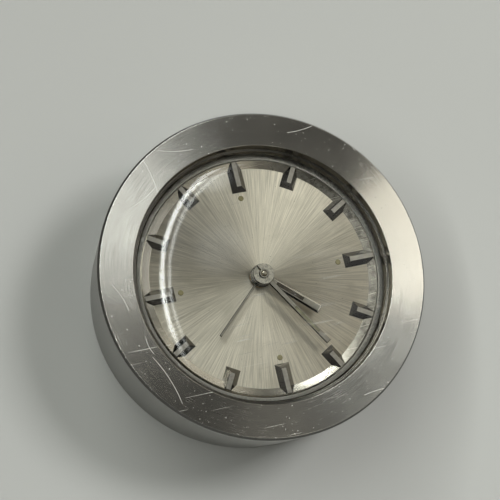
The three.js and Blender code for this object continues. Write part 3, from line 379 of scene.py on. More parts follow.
def rings_drawn(profile, middle=(0, 0)):
    """Extrudes the chosen ring from each radius and height to the next, or to a point."""
    for (last_radius, last_height), (radius, height) in zip(profile, profile[1:]):
        bpy.ops.mesh.extrude_region_move(
            TRANSFORM_OT_translate={"value": metres(0, 0, height - last_height)})
        share = radius / last_radius
        if radius:
            bpy.ops.transform.resize(
                value=(share, share, 1), center_override=metres(*middle, height))
        else:
            bpy.ops.mesh.merge(type="CENTER")


def rims_closed(close):
    """Selects the open rims alone and closes them."""
    bpy.ops.mesh.select_all(action="DESELECT")
    bpy.ops.mesh.select_non_manifold()
    close()


def faces_outwards():
    """Points the faces outwards and leaves edit mode."""
    bpy.ops.mesh.select_all(action="SELECT")
    bpy.ops.mesh.normals_make_consistent(inside=False)
    bpy.ops.object.mode_set(mode="OBJECT")


def turned_piece(name, profile, sides=LATHE_SIDES, middle=(0, 0), closed=True):
    """Draws a profile of radii and heights round an upright axis, ring by ring, as on a lathe."""
    nothing_chosen()
    radius, height = profile[0]
    bpy.ops.mesh.primitive_circle_add(
        vertices=sides, radius=radius * MM, location=metres(*middle, height))
    piece = settled(name)
    bpy.ops.object.mode_set(mode="EDIT")
    rings_drawn(profile, middle)
    if profile[-1][0] > 0:
        rims_closed(bpy.ops.mesh.bridge_edge_loops)
    elif closed:
        rims_closed(bpy.ops.mesh.edge_face_add)
    faces_outwards()
    return piece


def rounded(piece, width, angle=SHARP_ANGLE, segments=2):
    """Breaks a piece's edges with a small round and shades it smooth."""
    chosen(piece)
    bpy.ops.object.shade_smooth()
    edge = piece.modifiers.new("broken_edges", "BEVEL")
    edge.width = width * MM
    edge.segments = segments
    edge.limit_method = "ANGLE"
    edge.angle_limit = radians(angle)
    edge.harden_normals = True
    bpy.ops.object.modifier_apply(modifier=edge.name)
    return piece


def dressed(piece, material, body, slot, *nodes):
    """Gives a piece its material and its body, and hides the nodes that it stands for. The slot is not
    used.
    """
    piece.data.materials.append(material)
    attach(piece, body)
    if nodes:
        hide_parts(*nodes)
    return piece


satin = Finish("satin_drum_steel")
satin.metal(
    DRUM_COLOURS, satin.smudge(90), rough=0.26, rougher=0.12, lines=satin.drawn(DRUM_LINES),
    lined=0.05, depth=0.004, anisotropic=0.5, anisotropic_rotation=0.25)
drum = rounded(turned_piece("drum_wall", DRUM_PROFILE), DRUM_EDGE, TURNED_ANGLE)
dressed(drum, satin.material, "case", "steel_wall", "case_drum")

# ----
# Bezel: a broad flat ring of steel, brushed round and round on its face, with a polished
# chamfer outside and a stepped wall down to the dial. The chamfer is painted near black and the
# wall dark, as painted shade. Its spigot is pressed into the drum.

BEZEL_PROFILE = [
    (36.495, 25.6), (35.995, 26.4), (28.895, 26.5), (28.395, 24.85), (28.045, 24.85),
    (27.595, 23.7), (29.295, 23.7), (29.295, 21.6), (30.895, 21.6), (30.895, 24.5),
    (32.861, 24.5), (32.861, 22.6), (34.361, 22.6), (34.361, 25.6),
]
BEZEL_EDGE, BEZEL_SIDES = 0.07, 256
BEZEL_FACE_FROM, BEZEL_FACE_TO, BEZEL_FACE_LOW = 28.85, 36.05, 26.35
CHAMFER_FROM, CHAMFER_TO = 35.0, 35.9
BRUSH_FINE, BRUSH_ALONG, BRUSH_WIDE, BRUSH_DEPTH = 14000, 5, (0.12, 0.6, 0.6), 0.0011
BRUSHED_COLOURS = ((0.6, 0.585, 0.54), (0.78, 0.765, 0.71))
# The chamfer's near-black colour and the wall's dark colours are painted shade.
CHAMFER_SHADE_COLOUR, SCRATCH_COLOUR = (0.075, 0.073, 0.068), (0.9, 0.89, 0.85)
WELL_SHADE_COLOURS = ((0.2, 0.19, 0.17), (0.36, 0.345, 0.31))
BEZEL_SCRATCH_DEPTH = -0.012
# Each set of hairlines: turn of the noise, scale along, scale across, where a scratch starts.
BEZEL_HAIRLINES = [(35, 60, 7000, 0.79), (-20, 45, 7600, 0.79), (78, 50, 7200, 0.8)]
# Each curved scratch: middle, radius, width, direction of its midpoint, half of its arc.
BEZEL_SCRATCHES = [
    ((-54, -28.7), 30, 0.055, 20, 12), ((-22.8, -9.3), 6, 0.055, 195, 19), ((-50, 20), 31, 0.05, 12, 9),
    ((-10, 52), 22, 0.05, 262, 11), ((14, 50), 20, 0.05, 275, 9), ((48, 30), 22, 0.05, 190, 8),
    ((-34, 42), 24, 0.05, 300, 10), ((-45, -4), 14, 0.05, 20, 14), ((20, -52), 22, 0.05, 95, 8),
]


def ring_brushing(finish, fine, along):
    """Places drawn out round the axis: fine across the brush marks, slow along them."""
    across, up, radius = finish.out_from()
    return finish.node(
        "CombineXYZ", [radius * fine, across / radius * along, up / radius * along])


def faces_painted(piece, material, test):
    """Gives a piece one more material, for the faces that pass the test of their place."""
    piece.data.materials.append(material)
    for face in piece.data.polygons:
        middle = face.center
        if test(hypot(middle.x, middle.y) / MM, middle.z / MM, face.normal):
            face.material_index = len(piece.data.materials) - 1


brushed = Finish("round_brushed_steel")
brushed_way = ring_brushing(brushed, BRUSH_FINE, BRUSH_ALONG)
brushed_lines = brushed.noise(1, 3, 0.6, brushed_way)
brushed_wide = brushed.drawn(BRUSH_WIDE, 3, vector=brushed_way)
brushed_smudge = brushed.smudge(120)
brushed_hairs = brushed.greatest(*[brushed.hairlines(*run) for run in BEZEL_HAIRLINES])
brushed_hairs = brushed_hairs * brushed.rise(brushed.noise(60), 0.36, 0.56)
brushed_arcs = [brushed.arc_scratch(*scratch) for scratch in BEZEL_SCRATCHES]
brushed_specks = brushed.rise(brushed.noise(2300, 1), 0.745, 0.765) * 0.5
brushed_marks = brushed.greatest(brushed_hairs, *brushed_arcs, brushed_specks)
brushed_tone = brushed.rise(brushed_lines * 0.7 + brushed_smudge * 0.3, 0.3, 0.7)
brushed_ground = brushed.mixed(brushed_tone, *BRUSHED_COLOURS)
brushed_grain = brushed.bumped(brushed_lines + brushed_wide * 0.15, BRUSH_DEPTH)
brushed.solid(
    base_color=brushed.mixed(brushed_marks * 0.35, brushed_ground, SCRATCH_COLOUR),
    metallic=1.0 - brushed_marks * 0.45,
    roughness=0.19 + brushed_lines * 0.06 + brushed_smudge * 0.07 + brushed_marks * 0.16,
    anisotropic=0.93,
    anisotropic_rotation=0.25,
    normal=brushed.bumped(brushed_marks, BEZEL_SCRATCH_DEPTH, brushed_grain),
)
# Painted shade: the chamfer is coloured near black and the stepped wall dark, unlike the brushed face.
bright = Finish("polished_bezel_steel")
bright_smudge = bright.smudge(150)
bright_outside = bright.rise(bright.out_from()[2], CHAMFER_FROM * MM, CHAMFER_TO * MM)
bright.solid(
    base_color=bright.mixed(bright_outside, bright.mixed(bright_smudge, *WELL_SHADE_COLOURS), CHAMFER_SHADE_COLOUR),
    metallic=1.0,
    roughness=0.12 + bright_smudge * 0.12,
)
bezel = rounded(turned_piece("bezel", BEZEL_PROFILE, BEZEL_SIDES), BEZEL_EDGE, TURNED_ANGLE)
dressed(bezel, brushed.material, "case", "brushed_steel", "bezel_ring")
faces_painted(bezel, bright.material, lambda radius, height, normal: not (
    BEZEL_FACE_FROM < radius < BEZEL_FACE_TO and height > BEZEL_FACE_LOW))

# ----
# Crystal: a high dome pressed from clear acrylic, with a flat foot under the bezel's lip. It is
# polished, and lightly scratched by years of wiping. The near lamp leaves it out, because its
# square spot would show on the dome.

CRYSTAL_FOOT_BORE, CRYSTAL_RADIUS, CRYSTAL_LOW, CRYSTAL_LIP = 26.745, 28.995, 22.5, 23.7
DOME_OUT, DOME_OUT_LOW, DOME_OUT_RISE = 27.295, 24.0, 7.4
DOME_IN, DOME_IN_LOW, DOME_IN_RISE = 26.195, 23.45, 6.85
DOME_STEPS, CRYSTAL_EDGE, NEAR = 24, 0.15, 0.01
CLEAR_TINT, WORN_TINT, WHITE = (0.985, 0.985, 0.975), (0.8, 0.8, 0.78), (1, 1, 1)
GLOSS_AHEAD, GLOSS_POWER, GLOSS_ROUGHNESS = 0.014, 5, 0.03
SWELL_DEPTH, WEAR_DEPTH = 0.03, 0.004
CRYSTAL_HAIRLINES = [
    (20, 60, 6500, 0.75), (-28, 70, 6300, 0.75), (64, 80, 6100, 0.75), (-62, 60, 6600, 0.76)]


def dome_arc(radius, low, rise):
    """Radii and heights from the edge of a round cap to its top."""
    ball = (radius ** 2 + rise ** 2) / (2 * rise)
    half = asin(radius / ball)
    turns = [half * (DOME_STEPS - step) / DOME_STEPS for step in range(DOME_STEPS)]
    arc = [(ball * sin(turn), low + rise - ball + ball * cos(turn)) for turn in turns]
    return arc + [(0, low + rise)]


def corners_chosen(piece, test):
    """Selects the corners that pass the test, and goes into edit mode."""
    chosen(piece)
    bpy.ops.object.mode_set(mode="EDIT")
    bpy.ops.mesh.select_all(action="DESELECT")
    bpy.ops.object.mode_set(mode="OBJECT")
    for vertex in piece.data.vertices:
        vertex.select = test(vertex.co / MM)
    bpy.ops.object.mode_set(mode="EDIT")


def on_dome_rim(at):
    return abs(hypot(at.x, at.y) - DOME_OUT) < NEAR and abs(at.z - DOME_OUT_LOW) < NEAR


crystal = turned_piece("crystal_dome", dome_arc(DOME_OUT, DOME_OUT_LOW, DOME_OUT_RISE), closed=False)
inside = turned_piece("crystal_inside", dome_arc(DOME_IN, DOME_IN_LOW, DOME_IN_RISE), closed=False)
chosen(crystal)
inside.select_set(True)
bpy.ops.object.join()
corners_chosen(crystal, on_dome_rim)
rings_drawn([
    (DOME_OUT, DOME_OUT_LOW), (DOME_OUT, CRYSTAL_LIP), (CRYSTAL_RADIUS, CRYSTAL_LIP),
    (CRYSTAL_RADIUS, CRYSTAL_LOW), (CRYSTAL_FOOT_BORE, CRYSTAL_LOW)])
rims_closed(bpy.ops.mesh.bridge_edge_loops)
faces_outwards()
rounded(crystal, CRYSTAL_EDGE, TURNED_ANGLE)

clear = Finish("clear_acrylic")
clear_see = clear.node("BsdfTransparent", {"Color": CLEAR_TINT})
clear_worn = clear.node("BsdfDiffuse", {"Color": WORN_TINT})
clear_hairs = clear.greatest(*[clear.hairlines(*run) for run in CRYSTAL_HAIRLINES])
clear_marks = clear_hairs * clear.rise(clear.noise(75), 0.46, 0.62)
clear_dust = clear.rise(clear.noise(1700, 1), 0.77, 0.8)
clear_wear = clear.bumped(clear.cloud(900), WEAR_DEPTH, clear.bumped(clear.noise(130), SWELL_DEPTH))
clear_gloss = clear.node("BsdfGlossy", {
    "Roughness": GLOSS_ROUGHNESS, "Color": WHITE, "Normal": clear_wear})
clear_facing = clear.node("LayerWeight", {"Blend": 0.5}, "Facing")
clear_share = GLOSS_AHEAD + (1 - GLOSS_AHEAD) * clear_facing ** GLOSS_POWER
clear_skin = clear.node("MixShader", [clear_share, clear_see, clear_gloss])
clear_haze = clear_marks * 0.3 + clear_dust * 0.24
clear.shown(clear.node("MixShader", [clear_haze, clear_skin, clear_worn]))
dressed(crystal, clear.material, "case", "clear_acrylic", "crystal")
unlit = bpy.data.collections.new("left_out_by_the_key_lamp")
unlit.objects.link(crystal)
unlit.collection_objects[0].light_linking.link_state = "EXCLUDE"
key_lamp.light_linking.receiver_collection = unlit

# ----
# Dial ring: a flat pale ring of aluminium that presses the crystal's foot against the lip. It
# is turned, and left satin.

DIAL_RING_BORE, DIAL_FLANGE, DIAL_FLANGE_TOP, DIAL_RING_EDGE = 26.745, 28.795, 21.8, 0.06
PALE_COLOURS = ((0.6, 0.59, 0.55), (0.74, 0.73, 0.69))


def tube(bore, radius, low, top):
    """The profile of a plain ring."""
    return [(bore, low), (radius, low), (radius, top), (bore, top)]


pale = Finish("pale_satin_aluminium")
pale_lines = pale.noise(1, vector=ring_brushing(pale, 9000, 4))
pale.metal(PALE_COLOURS, pale_lines, rough=0.38, rougher=0.1, lines=pale_lines, depth=0.003)
dial_ring = turned_piece(
    "pressing_ring", tube(DIAL_RING_BORE, DIAL_FLANGE, DIAL_FLANGE_TOP, CRYSTAL_LOW))
rounded(dial_ring, DIAL_RING_EDGE, TURNED_ANGLE)
dressed(dial_ring, pale.material, "case", "pale_metal", "dial_ring")

# ----
# Dial: a silvered plate brushed outwards from its centre, with a polished rim dished up round
# its edge. The rim is painted dark near three, with specks, as painted shade. It is pressed from
# one sheet.

DIAL_HOLE, DIAL_LOW, DIAL_FACE, DIAL_EDGE = 2.35, 21.3, 22.1, 0.05
DIAL_RIM, DIAL_RIM_TOP, DIAL_FLAT = 26.395, 23.0, 24.695
DIAL_PROFILE = [
    (DIAL_HOLE, DIAL_LOW), (DIAL_FLANGE, DIAL_LOW), (DIAL_FLANGE, DIAL_FLANGE_TOP),
    (DIAL_RIM, DIAL_FLANGE_TOP), (DIAL_RIM, DIAL_RIM_TOP), (DIAL_FLAT, DIAL_FACE),
    (DIAL_HOLE, DIAL_FACE),
]
SILVER_COLOURS, STAIN_COLOUR = ((0.43, 0.405, 0.345), (0.7, 0.66, 0.565)), (0.46, 0.43, 0.36)
SUNRAY_FINE, SUNRAY_ALONG, SUNRAY_DEPTH = 95, 120, 0.006
DIAL_HAIRLINES = [(25, 60, 7000, 0.79), (-35, 70, 7500, 0.79), (70, 60, 7000, 0.8)]
RIM_COLOURS, RIM_SHADE_COLOUR = ((0.5, 0.475, 0.415), (0.7, 0.67, 0.6)), (0.075, 0.07, 0.06)
RIM_SHADE_TURN, RIM_SHADE_FROM, RIM_SHADE_TO = radians(5), 0.15, 0.75
RIM_HAIRLINES = (50, 90, 5200, 0.66)

sunray = Finish("sunray_silver")
sunray_across, sunray_up, sunray_radius = sunray.out_from()
sunray_way = sunray.node("CombineXYZ", [
    sunray_across / sunray_radius * SUNRAY_FINE, sunray_up / sunray_radius * SUNRAY_FINE,
    sunray_radius * SUNRAY_ALONG])
sunray_lines = sunray.noise(1, 3, 0.6, sunray_way)
sunray_hairs = sunray.greatest(*[sunray.hairlines(*run) for run in DIAL_HAIRLINES])
sunray_dust = sunray.rise(sunray.noise(1900), 0.7, 0.74)
sunray_grey = sunray.mixed(sunray.rise(sunray_lines, 0.3, 0.7), *SILVER_COLOURS)
sunray_stained = sunray.rise(sunray.cloud(170), 0.55, 0.75) * 0.5
sunray_ground = sunray.mixed(sunray_stained, sunray_grey, STAIN_COLOUR)
sunray.solid(
    base_color=sunray.mixed(sunray_hairs * 0.35, sunray_ground, SCRATCH_COLOUR),
    metallic=1.0 - sunray.greatest(sunray_dust * 0.35, sunray_hairs * 0.4),
    roughness=0.39 + sunray_lines * 0.12 + sunray_hairs * 0.1,
    anisotropic=0.73,
    normal=sunray.bumped(sunray_lines, SUNRAY_DEPTH),
)
rim = Finish("polished_dial_rim")
rim_cloud = rim.cloud(200)
rim_across, rim_up = rim.out_from()[:2]
# Painted shade: the rim darkens towards three, mottled by specks.
rim_side = rim_across * cos(RIM_SHADE_TURN) + rim_up * sin(RIM_SHADE_TURN)
rim_shade_side = rim.rise(rim_side, RIM_SHADE_FROM * DIAL_RIM * MM, RIM_SHADE_TO * DIAL_RIM * MM)
rim_specks = rim.rise(rim.noise(700, 4, 0.7), 0.36, 0.66)
rim_hairs = rim.hairlines(*RIM_HAIRLINES)
rim_painted_shade = rim_shade_side * (0.78 + rim_specks * 0.22)
rim_ground = rim.mixed(rim_painted_shade, rim.mixed(rim_cloud, *RIM_COLOURS), RIM_SHADE_COLOUR)
rim.solid(
    base_color=rim.mixed(rim_hairs * 0.5, rim_ground, RIM_COLOURS[1]),
    metallic=1.0,
    roughness=0.12 + rim_cloud * 0.1 + rim_painted_shade * 0.3 + rim_hairs * 0.1,
)
dial = rounded(turned_piece("dial", DIAL_PROFILE), DIAL_EDGE, TURNED_ANGLE)
dressed(dial, sunray.material, "case", "silver_dial", "dial_plate")
faces_painted(dial, rim.material, lambda radius, height, normal: radius > DIAL_FLAT)

# ----
# Hour marks: twelve polished steel batons with a narrow flat top and sloping sides, riveted to
# the dial. Their sides and ends are painted dark as shade, and their satin top is lighter. Those
# at the four quarters are longer. Each is filed to lie on the dial's rim.

MARK_WIDTH, MARK_TOP, MARK_HEIGHT, MARK_HIP, MARK_OUTER = 3.3, 1.05, 1.1, 1.2, 26.335
MARK_LENGTH, QUARTER_MARK_LENGTH = 5.0, 6.8
MARK_SEAT, MARK_EDGE, MARK_ANGLE = 0.04, 0.05, 20
SPARE = 1.0        # how far a cutter reaches past what it cuts
HOURS, HOURS_PER_QUARTER = 12, 3
# Painted shade: the marks are coloured dark on every face but the flat top.
MARK_SHADE_COLOURS = ((0.15, 0.142, 0.13), (0.25, 0.24, 0.22))
MARK_HAIRS = (900, 9000, 900)
RIDGE_COLOURS, RIDGE_UP = (MARK_SHADE_COLOURS[1], (0.52, 0.5, 0.455)), 0.98


def clouded_metal(name, colours, scale, rough, rougher):
    """A plain metal whose colour and roughness change together in soft clouds."""
    finish = Finish(name)
    return finish.metal(colours, finish.cloud(scale), rough, rougher)


chrome = Finish("polished_mark_steel")
chrome.metal(
    MARK_SHADE_COLOURS, chrome.cloud(300), rough=0.05, rougher=0.08, lines=chrome.drawn(MARK_HAIRS), depth=0.001)
ridge_steel = clouded_metal("satin_mark_ridge", RIDGE_COLOURS, 1200, rough=0.42, rougher=0.1)


def bar(name, width, length, low, thickness, first=0.0):
    """A flat box that reaches from its first distance towards the twelve."""
    nothing_chosen()
    bpy.ops.mesh.primitive_cube_add(
        size=1, location=metres(0, first + length / 2, low + thickness / 2))
    bpy.context.object.scale = metres(width, length, thickness)
    return settled(name)


def corners_squeezed(piece, test, across, along, middle):
    """Brings the corners that pass the test closer to a middle point."""
    corners_chosen(piece, test)
    bpy.ops.transform.resize(value=(across, along, 1), center_override=metres(*middle))
    bpy.ops.object.mode_set(mode="OBJECT")


def combined(piece, other, operation):
    """Cuts another shape out of a piece or welds it on, and removes the other."""
    chosen(piece)
    change = piece.modifiers.new("change", "BOOLEAN")
    change.operation = operation
    change.solver = "EXACT"
    change.object = other
    bpy.ops.object.modifier_apply(modifier=change.name)
    bpy.data.objects.remove(other)


def cut_away(piece, cutter):
    combined(piece, cutter, "DIFFERENCE")


def turned_to(piece, degrees):
    """Turns a piece clockwise round the dial's centre."""
    chosen(piece)
    bpy.ops.transform.rotate(
        value=radians(degrees), orient_axis="Z", center_override=(0, 0, 0))
    return settled(piece.name)


def copied(piece, name, middle=(0, 0), turn=0):
    """A copy of a piece with its own mesh, turned clockwise, then moved across and up."""
    chosen(piece)
    bpy.ops.object.duplicate()
    turned_to(bpy.context.object, turn)
    bpy.ops.transform.translate(value=metres(*middle, 0))
    return settled(name)


def baton(name, length):
    """A bar squeezed at the top into a roof with a flat ridge and one hipped end."""
    piece = bar(name, MARK_WIDTH, length, DIAL_FACE, MARK_HEIGHT, MARK_OUTER - length)
    top, share = DIAL_FACE + MARK_HEIGHT / 2, (length - MARK_HIP) / length
    corners_squeezed(piece, lambda at: at.z > top, MARK_TOP / MARK_WIDTH, share, (0, MARK_OUTER, 0))
    outside, seat = DIAL_RIM + SPARE, DIAL_RIM_TOP + MARK_SEAT
    cut_away(piece, turned_piece("rim_shape", [
        (DIAL_FLAT, DIAL_FACE + MARK_SEAT), (DIAL_FLAT, DIAL_LOW), (outside, DIAL_LOW),
        (outside, seat), (DIAL_RIM, seat)]))
    return rounded(piece, MARK_EDGE, MARK_ANGLE)


plain_baton = baton("plain_baton", MARK_LENGTH)
quarter_baton = baton("quarter_baton", QUARTER_MARK_LENGTH)
for hour in range(1, HOURS + 1):
    model = plain_baton if hour % HOURS_PER_QUARTER else quarter_baton
    mark = copied(model, f"baton_{hour:02d}", turn=360 * hour / HOURS)
    dressed(mark, chrome.material, "case", "polished_mark", f"hour_mark_{hour:02d}")
    faces_painted(mark, ridge_steel, lambda radius, height, normal: normal.z > RIDGE_UP)
bpy.data.objects.remove(plain_baton)
bpy.data.objects.remove(quarter_baton)

# ----
# Luminous dots: four small drops of olive paint, just inside the quarter marks. The paint is
# dried hard, and clouded with age.

DOT_RADIUS, DOT_DISTANCE, DOT_HEIGHT, DOT_SIDES, DOTS = 0.62, 18.2, 0.14, 32, 4
DOT_PROFILE = [
    (DOT_RADIUS, DIAL_FACE - 0.02), (DOT_RADIUS, DIAL_FACE + 0.03),
    (DOT_RADIUS * 0.8, DIAL_FACE + DOT_HEIGHT * 0.75), (DOT_RADIUS * 0.4, DIAL_FACE + DOT_HEIGHT),
    (0, DIAL_FACE + DOT_HEIGHT),
]
LUME_COLOURS, LUME_DEPTH = ((0.09, 0.08, 0.04), (0.17, 0.155, 0.075)), 0.03

lume = Finish("olive_luminous_paint")
lume_grain = lume.noise(6000)
lume.solid(
    base_color=lume.mixed(lume.cloud(900), *LUME_COLOURS),
    roughness=0.75 + lume_grain * 0.1,
    normal=lume.bumped(lume_grain, LUME_DEPTH),
)
drop = turned_piece("drop", DOT_PROFILE, DOT_SIDES)
chosen(drop)
bpy.ops.object.shade_smooth()
for number in range(DOTS):
    turn = radians(360 * number / DOTS)
    middle = (DOT_DISTANCE * sin(turn), DOT_DISTANCE * cos(turn))
    dressed(copied(drop, f"luminous_dot_{number + 1}", middle), lume.material, "case", "silver_dial")
bpy.data.objects.remove(drop)

# ----
# Hands: three steel blades pressed on pipes, one above the other, with edges filed to a slope.
# The slopes that face three are painted light as a highlight; the other slopes and the upright
# sides, bosses' sides too, are painted near black as shade. Each has a round boss that is slit so
# that it grips, and the hour and minute blades carry luminous paint in a slot.

HAND_THICKNESS, HAND_EDGE = 0.3, 0.05
BOSS_HEIGHT, BOSS_EDGE, BOSS_OVERLAP, BOSS_SIDES, BOSS_ROOM_SIDES = 0.7, 0.08, 0.15, 96, 64
SLIT_WIDTH, SLIT_TURN = 0.35, 180
FILL_GAP, FILL_SUNK, FILL_THINNER, FILL_EDGE, FILL_DEPTH = 0.01, 0.04, 0.1, 0.03, 0.04
HAND_COLOURS = ((0.24, 0.23, 0.205), (0.44, 0.425, 0.38))
BOSS_COLOURS = ((0.42, 0.4, 0.35), (0.88, 0.85, 0.76))
FACET_HIGHLIGHT_COLOURS = ((0.42, 0.4, 0.36), (0.6, 0.58, 0.52))
HAND_SHADE_COLOURS = ((0.015, 0.014, 0.013), (0.045, 0.043, 0.04))
FACET_UP = 0.95
HAND_FILLS = {
    "hour_hand": ((0.01, 0.008, 0.006), (0.045, 0.037, 0.025)),
    "minute_hand": ((0.09, 0.085, 0.055), (0.17, 0.17, 0.11)),
}
# Each hand: body, height of its underside, bore, boss radius, length, width, width at the tip,
# turn, slot for the paint (from, to, width), width of the slope.
HANDS = [
    ("alarm_hand", 23.2, 2.17, 2.5, 16.5, 0.5, 0.6, 227.1, None, 0.12),
    ("hour_hand", 24.15, 1.62, 2.45, 14.72, 1.8, 2.1, 132.35, (3.61, 10.41, 0.8), 0.42),
    ("minute_hand", 25.1, 1.07, 2.3, 20.445, 1.2, 1.3, 148.2, (9.9, 17.4, 0.56), 0.2),
]


def plug(name, radius, low, top, middle=(0, 0), sides=48):
    """A plain round cutter or post, standing upright."""
    nothing_chosen()
    bpy.ops.mesh.primitive_cylinder_add(
        vertices=sides, radius=radius * MM, depth=(top - low) * MM,
        location=metres(*middle, (low + top) / 2))
    return settled(name)


hand_steel = Finish("polished_hand_steel")
hand_steel.metal(
    HAND_COLOURS, hand_steel.noise(650, 4, 0.65), rough=0.38, rougher=0.1,
    lines=hand_steel.noise(4000), depth=0.002)
boss_steel = Finish("lapped_boss_steel")
boss_cloud = boss_steel.rise(boss_steel.noise(1500, 4, 0.7), 0.34, 0.62)
boss_steel.metal(BOSS_COLOURS, boss_cloud, rough=0.4, rougher=-0.08, lines=boss_cloud, depth=0.004)
# Painted highlight and painted shade: light slopes facing three, near-black slopes and sides.
painted_highlight_steel = clouded_metal("hand_facet_painted_highlight", FACET_HIGHLIGHT_COLOURS, 900, rough=0.13, rougher=0.06)
painted_shade_steel = clouded_metal("hand_edge_painted_shade", HAND_SHADE_COLOURS, 700, rough=0.1, rougher=0.1)
for name, low, bore, boss, length, width, tip_width, turn, slot, slope in HANDS:
    blade = bar(name + "_blade", width, length - bore, low, HAND_THICKNESS, bore)
    corners_squeezed(blade, lambda at: at.y > length / 2, tip_width / width, 1, (0, length, 0))
    corners_squeezed(blade, lambda at: at.z > low + HAND_THICKNESS / 2, 1 - 2 * slope / tip_width,
                     1 - slope / length, (0, bore, 0))
    if slot:
        slot_from, slot_to, slot_width = slot
        slot_length = slot_to - slot_from
        cut_away(blade, bar("slot", slot_width, slot_length, low - SPARE, 2 * SPARE, slot_from))
    cut_away(blade, plug(
        "boss_room", boss - BOSS_OVERLAP, low - SPARE, low + SPARE, sides=BOSS_ROOM_SIDES))
    hub = turned_piece(name + "_boss", tube(bore, boss, low, low + BOSS_HEIGHT), BOSS_SIDES)
    cut_away(hub, turned_to(bar("slit", SLIT_WIDTH, boss + SPARE, low - SPARE, 3 * SPARE), SLIT_TURN))
    for piece, edge, finish in [(blade, HAND_EDGE, hand_steel), (hub, BOSS_EDGE, boss_steel)]:
        turned_to(rounded(piece, edge), turn)
        dressed(piece, finish.material, name, "hand_steel", name)
        faces_painted(piece, painted_shade_steel, lambda radius, height, normal: normal.z < FACET_UP)
    faces_painted(blade, painted_highlight_steel,
                  lambda radius, height, normal: normal.z < FACET_UP and normal.x > 0)
    if slot:
        fill = bar(name + "_luminous_fill", slot_width - 2 * FILL_GAP, slot_length - 2 * FILL_GAP,
                   low + FILL_SUNK, HAND_THICKNESS - FILL_THINNER, slot_from + FILL_GAP)
        turned_to(rounded(fill, FILL_EDGE), turn)
        paint = Finish("aged_luminous_paint_" + name)
        paint_cloud = paint.rise(paint.noise(1100, 4, 0.7), 0.35, 0.65)
        paint.solid(
            base_color=paint.mixed(paint_cloud, *HAND_FILLS[name]),
            roughness=0.7 + paint_cloud * 0.15,
            normal=paint.bumped(paint_cloud, FILL_DEPTH),
        )
        dressed(fill, paint.material, name, "hand_steel")

# ----
# Pipe and pin ends: the steel pipe that carries the minute hand, painted near black as shade on
# its side and round its bore, the end of the alarm hand's pipe below it, painted near black all
# over as shade, and the greyed brass pin of the centre wheel, all turned, as they show in the
# bosses.

PIPE_RADIUS, PIPE_SHADE_REACH, PIPE_BORE, PIPE_TOP, PIPE_SHOWN, PIPE_EDGE = 0.99, 0.68, 0.53, 26.12, 0.9, 0.05
PIPE_SIDES, PIPE_SIDE_UP = 64, 0.7
ALARM_PIPE_BORE, ALARM_PIPE_RADIUS, ALARM_PIPE_LOW, ALARM_PIPE_TOP = 2.14, 2.27, 22.2, 23.19
ALARM_PIPE_EDGE, ALARM_PIPE_SIDES = 0.02, 96
PIN_RADIUS, PIN_TOP, PIN_SHOWN, PIN_EDGE, PIN_SIDES = 0.475, 26.52, 1.2, 0.03, 48
PIPE_COLOURS = ((0.3, 0.285, 0.25), (0.52, 0.5, 0.44))
PIN_COLOURS = ((0.28, 0.26, 0.21), (0.5, 0.47, 0.4))

pipe_steel = clouded_metal("turned_pipe_steel", PIPE_COLOURS, 1500, rough=0.3, rougher=0.15)
pipe_end = turned_piece("pipe_end", [
    (PIPE_BORE, PIPE_TOP - PIPE_SHOWN), (PIPE_RADIUS, PIPE_TOP - PIPE_SHOWN),
    (PIPE_RADIUS, PIPE_TOP), (PIPE_SHADE_REACH, PIPE_TOP), (PIPE_BORE, PIPE_TOP)], PIPE_SIDES)
dressed(rounded(pipe_end, PIPE_EDGE), pipe_steel, "minute_hand", "plain_steel")
# Painted shade: the pipe's side and the ring round its bore are near black.
faces_painted(pipe_end, painted_shade_steel,
              lambda radius, height, normal: normal.z < PIPE_SIDE_UP or radius < PIPE_SHADE_REACH)
# Painted shade: the alarm pipe's end, under the bosses, is near black all over.
alarm_pipe_end = turned_piece("alarm_pipe_end", tube(
    ALARM_PIPE_BORE, ALARM_PIPE_RADIUS, ALARM_PIPE_LOW, ALARM_PIPE_TOP), ALARM_PIPE_SIDES)
dressed(rounded(alarm_pipe_end, ALARM_PIPE_EDGE), painted_shade_steel, "alarm_hand", "brass")
pin_brass = clouded_metal("worn_pin_brass", PIN_COLOURS, 1800, rough=0.28, rougher=0.12)
pin_end = turned_piece("pin_end", [
    (PIN_RADIUS, PIN_TOP - PIN_SHOWN), (PIN_RADIUS, PIN_TOP - 0.12),
    (PIN_RADIUS * 0.8, PIN_TOP - 0.03), (PIN_RADIUS * 0.4, PIN_TOP), (0, PIN_TOP)], PIN_SIDES)
dressed(rounded(pin_end, PIN_EDGE), pin_brass, "centre_wheel", "brass")

# ----
# Plates: two brass plates with a straight grain, and the bright ring that centres them in the
# drum. Four turned steel pillars hold the plates apart.

PLATE_GRAIN, PLATE_TURN, TURNED_LINES = (60, 7000, 60), 35, (300, 300, 9000)
BRASS_COLOURS = ((0.5, 0.34, 0.13), (0.69, 0.52, 0.24))
RING_COLOURS = ((0.46, 0.46, 0.45), (0.62, 0.62, 0.6))
TURNED_COLOURS = ((0.42, 0.42, 0.42), (0.6, 0.6, 0.6))


def refinished(finish, *names):
    """Gives nodes that keep their own shape a new material."""
    for name in names:
        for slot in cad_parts[name].material_slots:
            slot.material = finish.material


plate_brass = Finish("grained_plate_brass")
plate_brass.metal(
    BRASS_COLOURS, plate_brass.smudge(90), rough=0.24, rougher=0.08,
    lines=plate_brass.drawn(PLATE_GRAIN, turn=PLATE_TURN), lined=0.14, depth=0.003)
refinished(plate_brass, "front_plate", "back_plate")

carrier = Finish("turned_ring_aluminium")
carrier_lines = carrier.noise(1, vector=ring_brushing(carrier, 6000, 4))
carrier.metal(RING_COLOURS, carrier_lines, rough=0.34, rougher=0.12, lines=carrier_lines, depth=0.003)
refinished(carrier, "movement_ring")

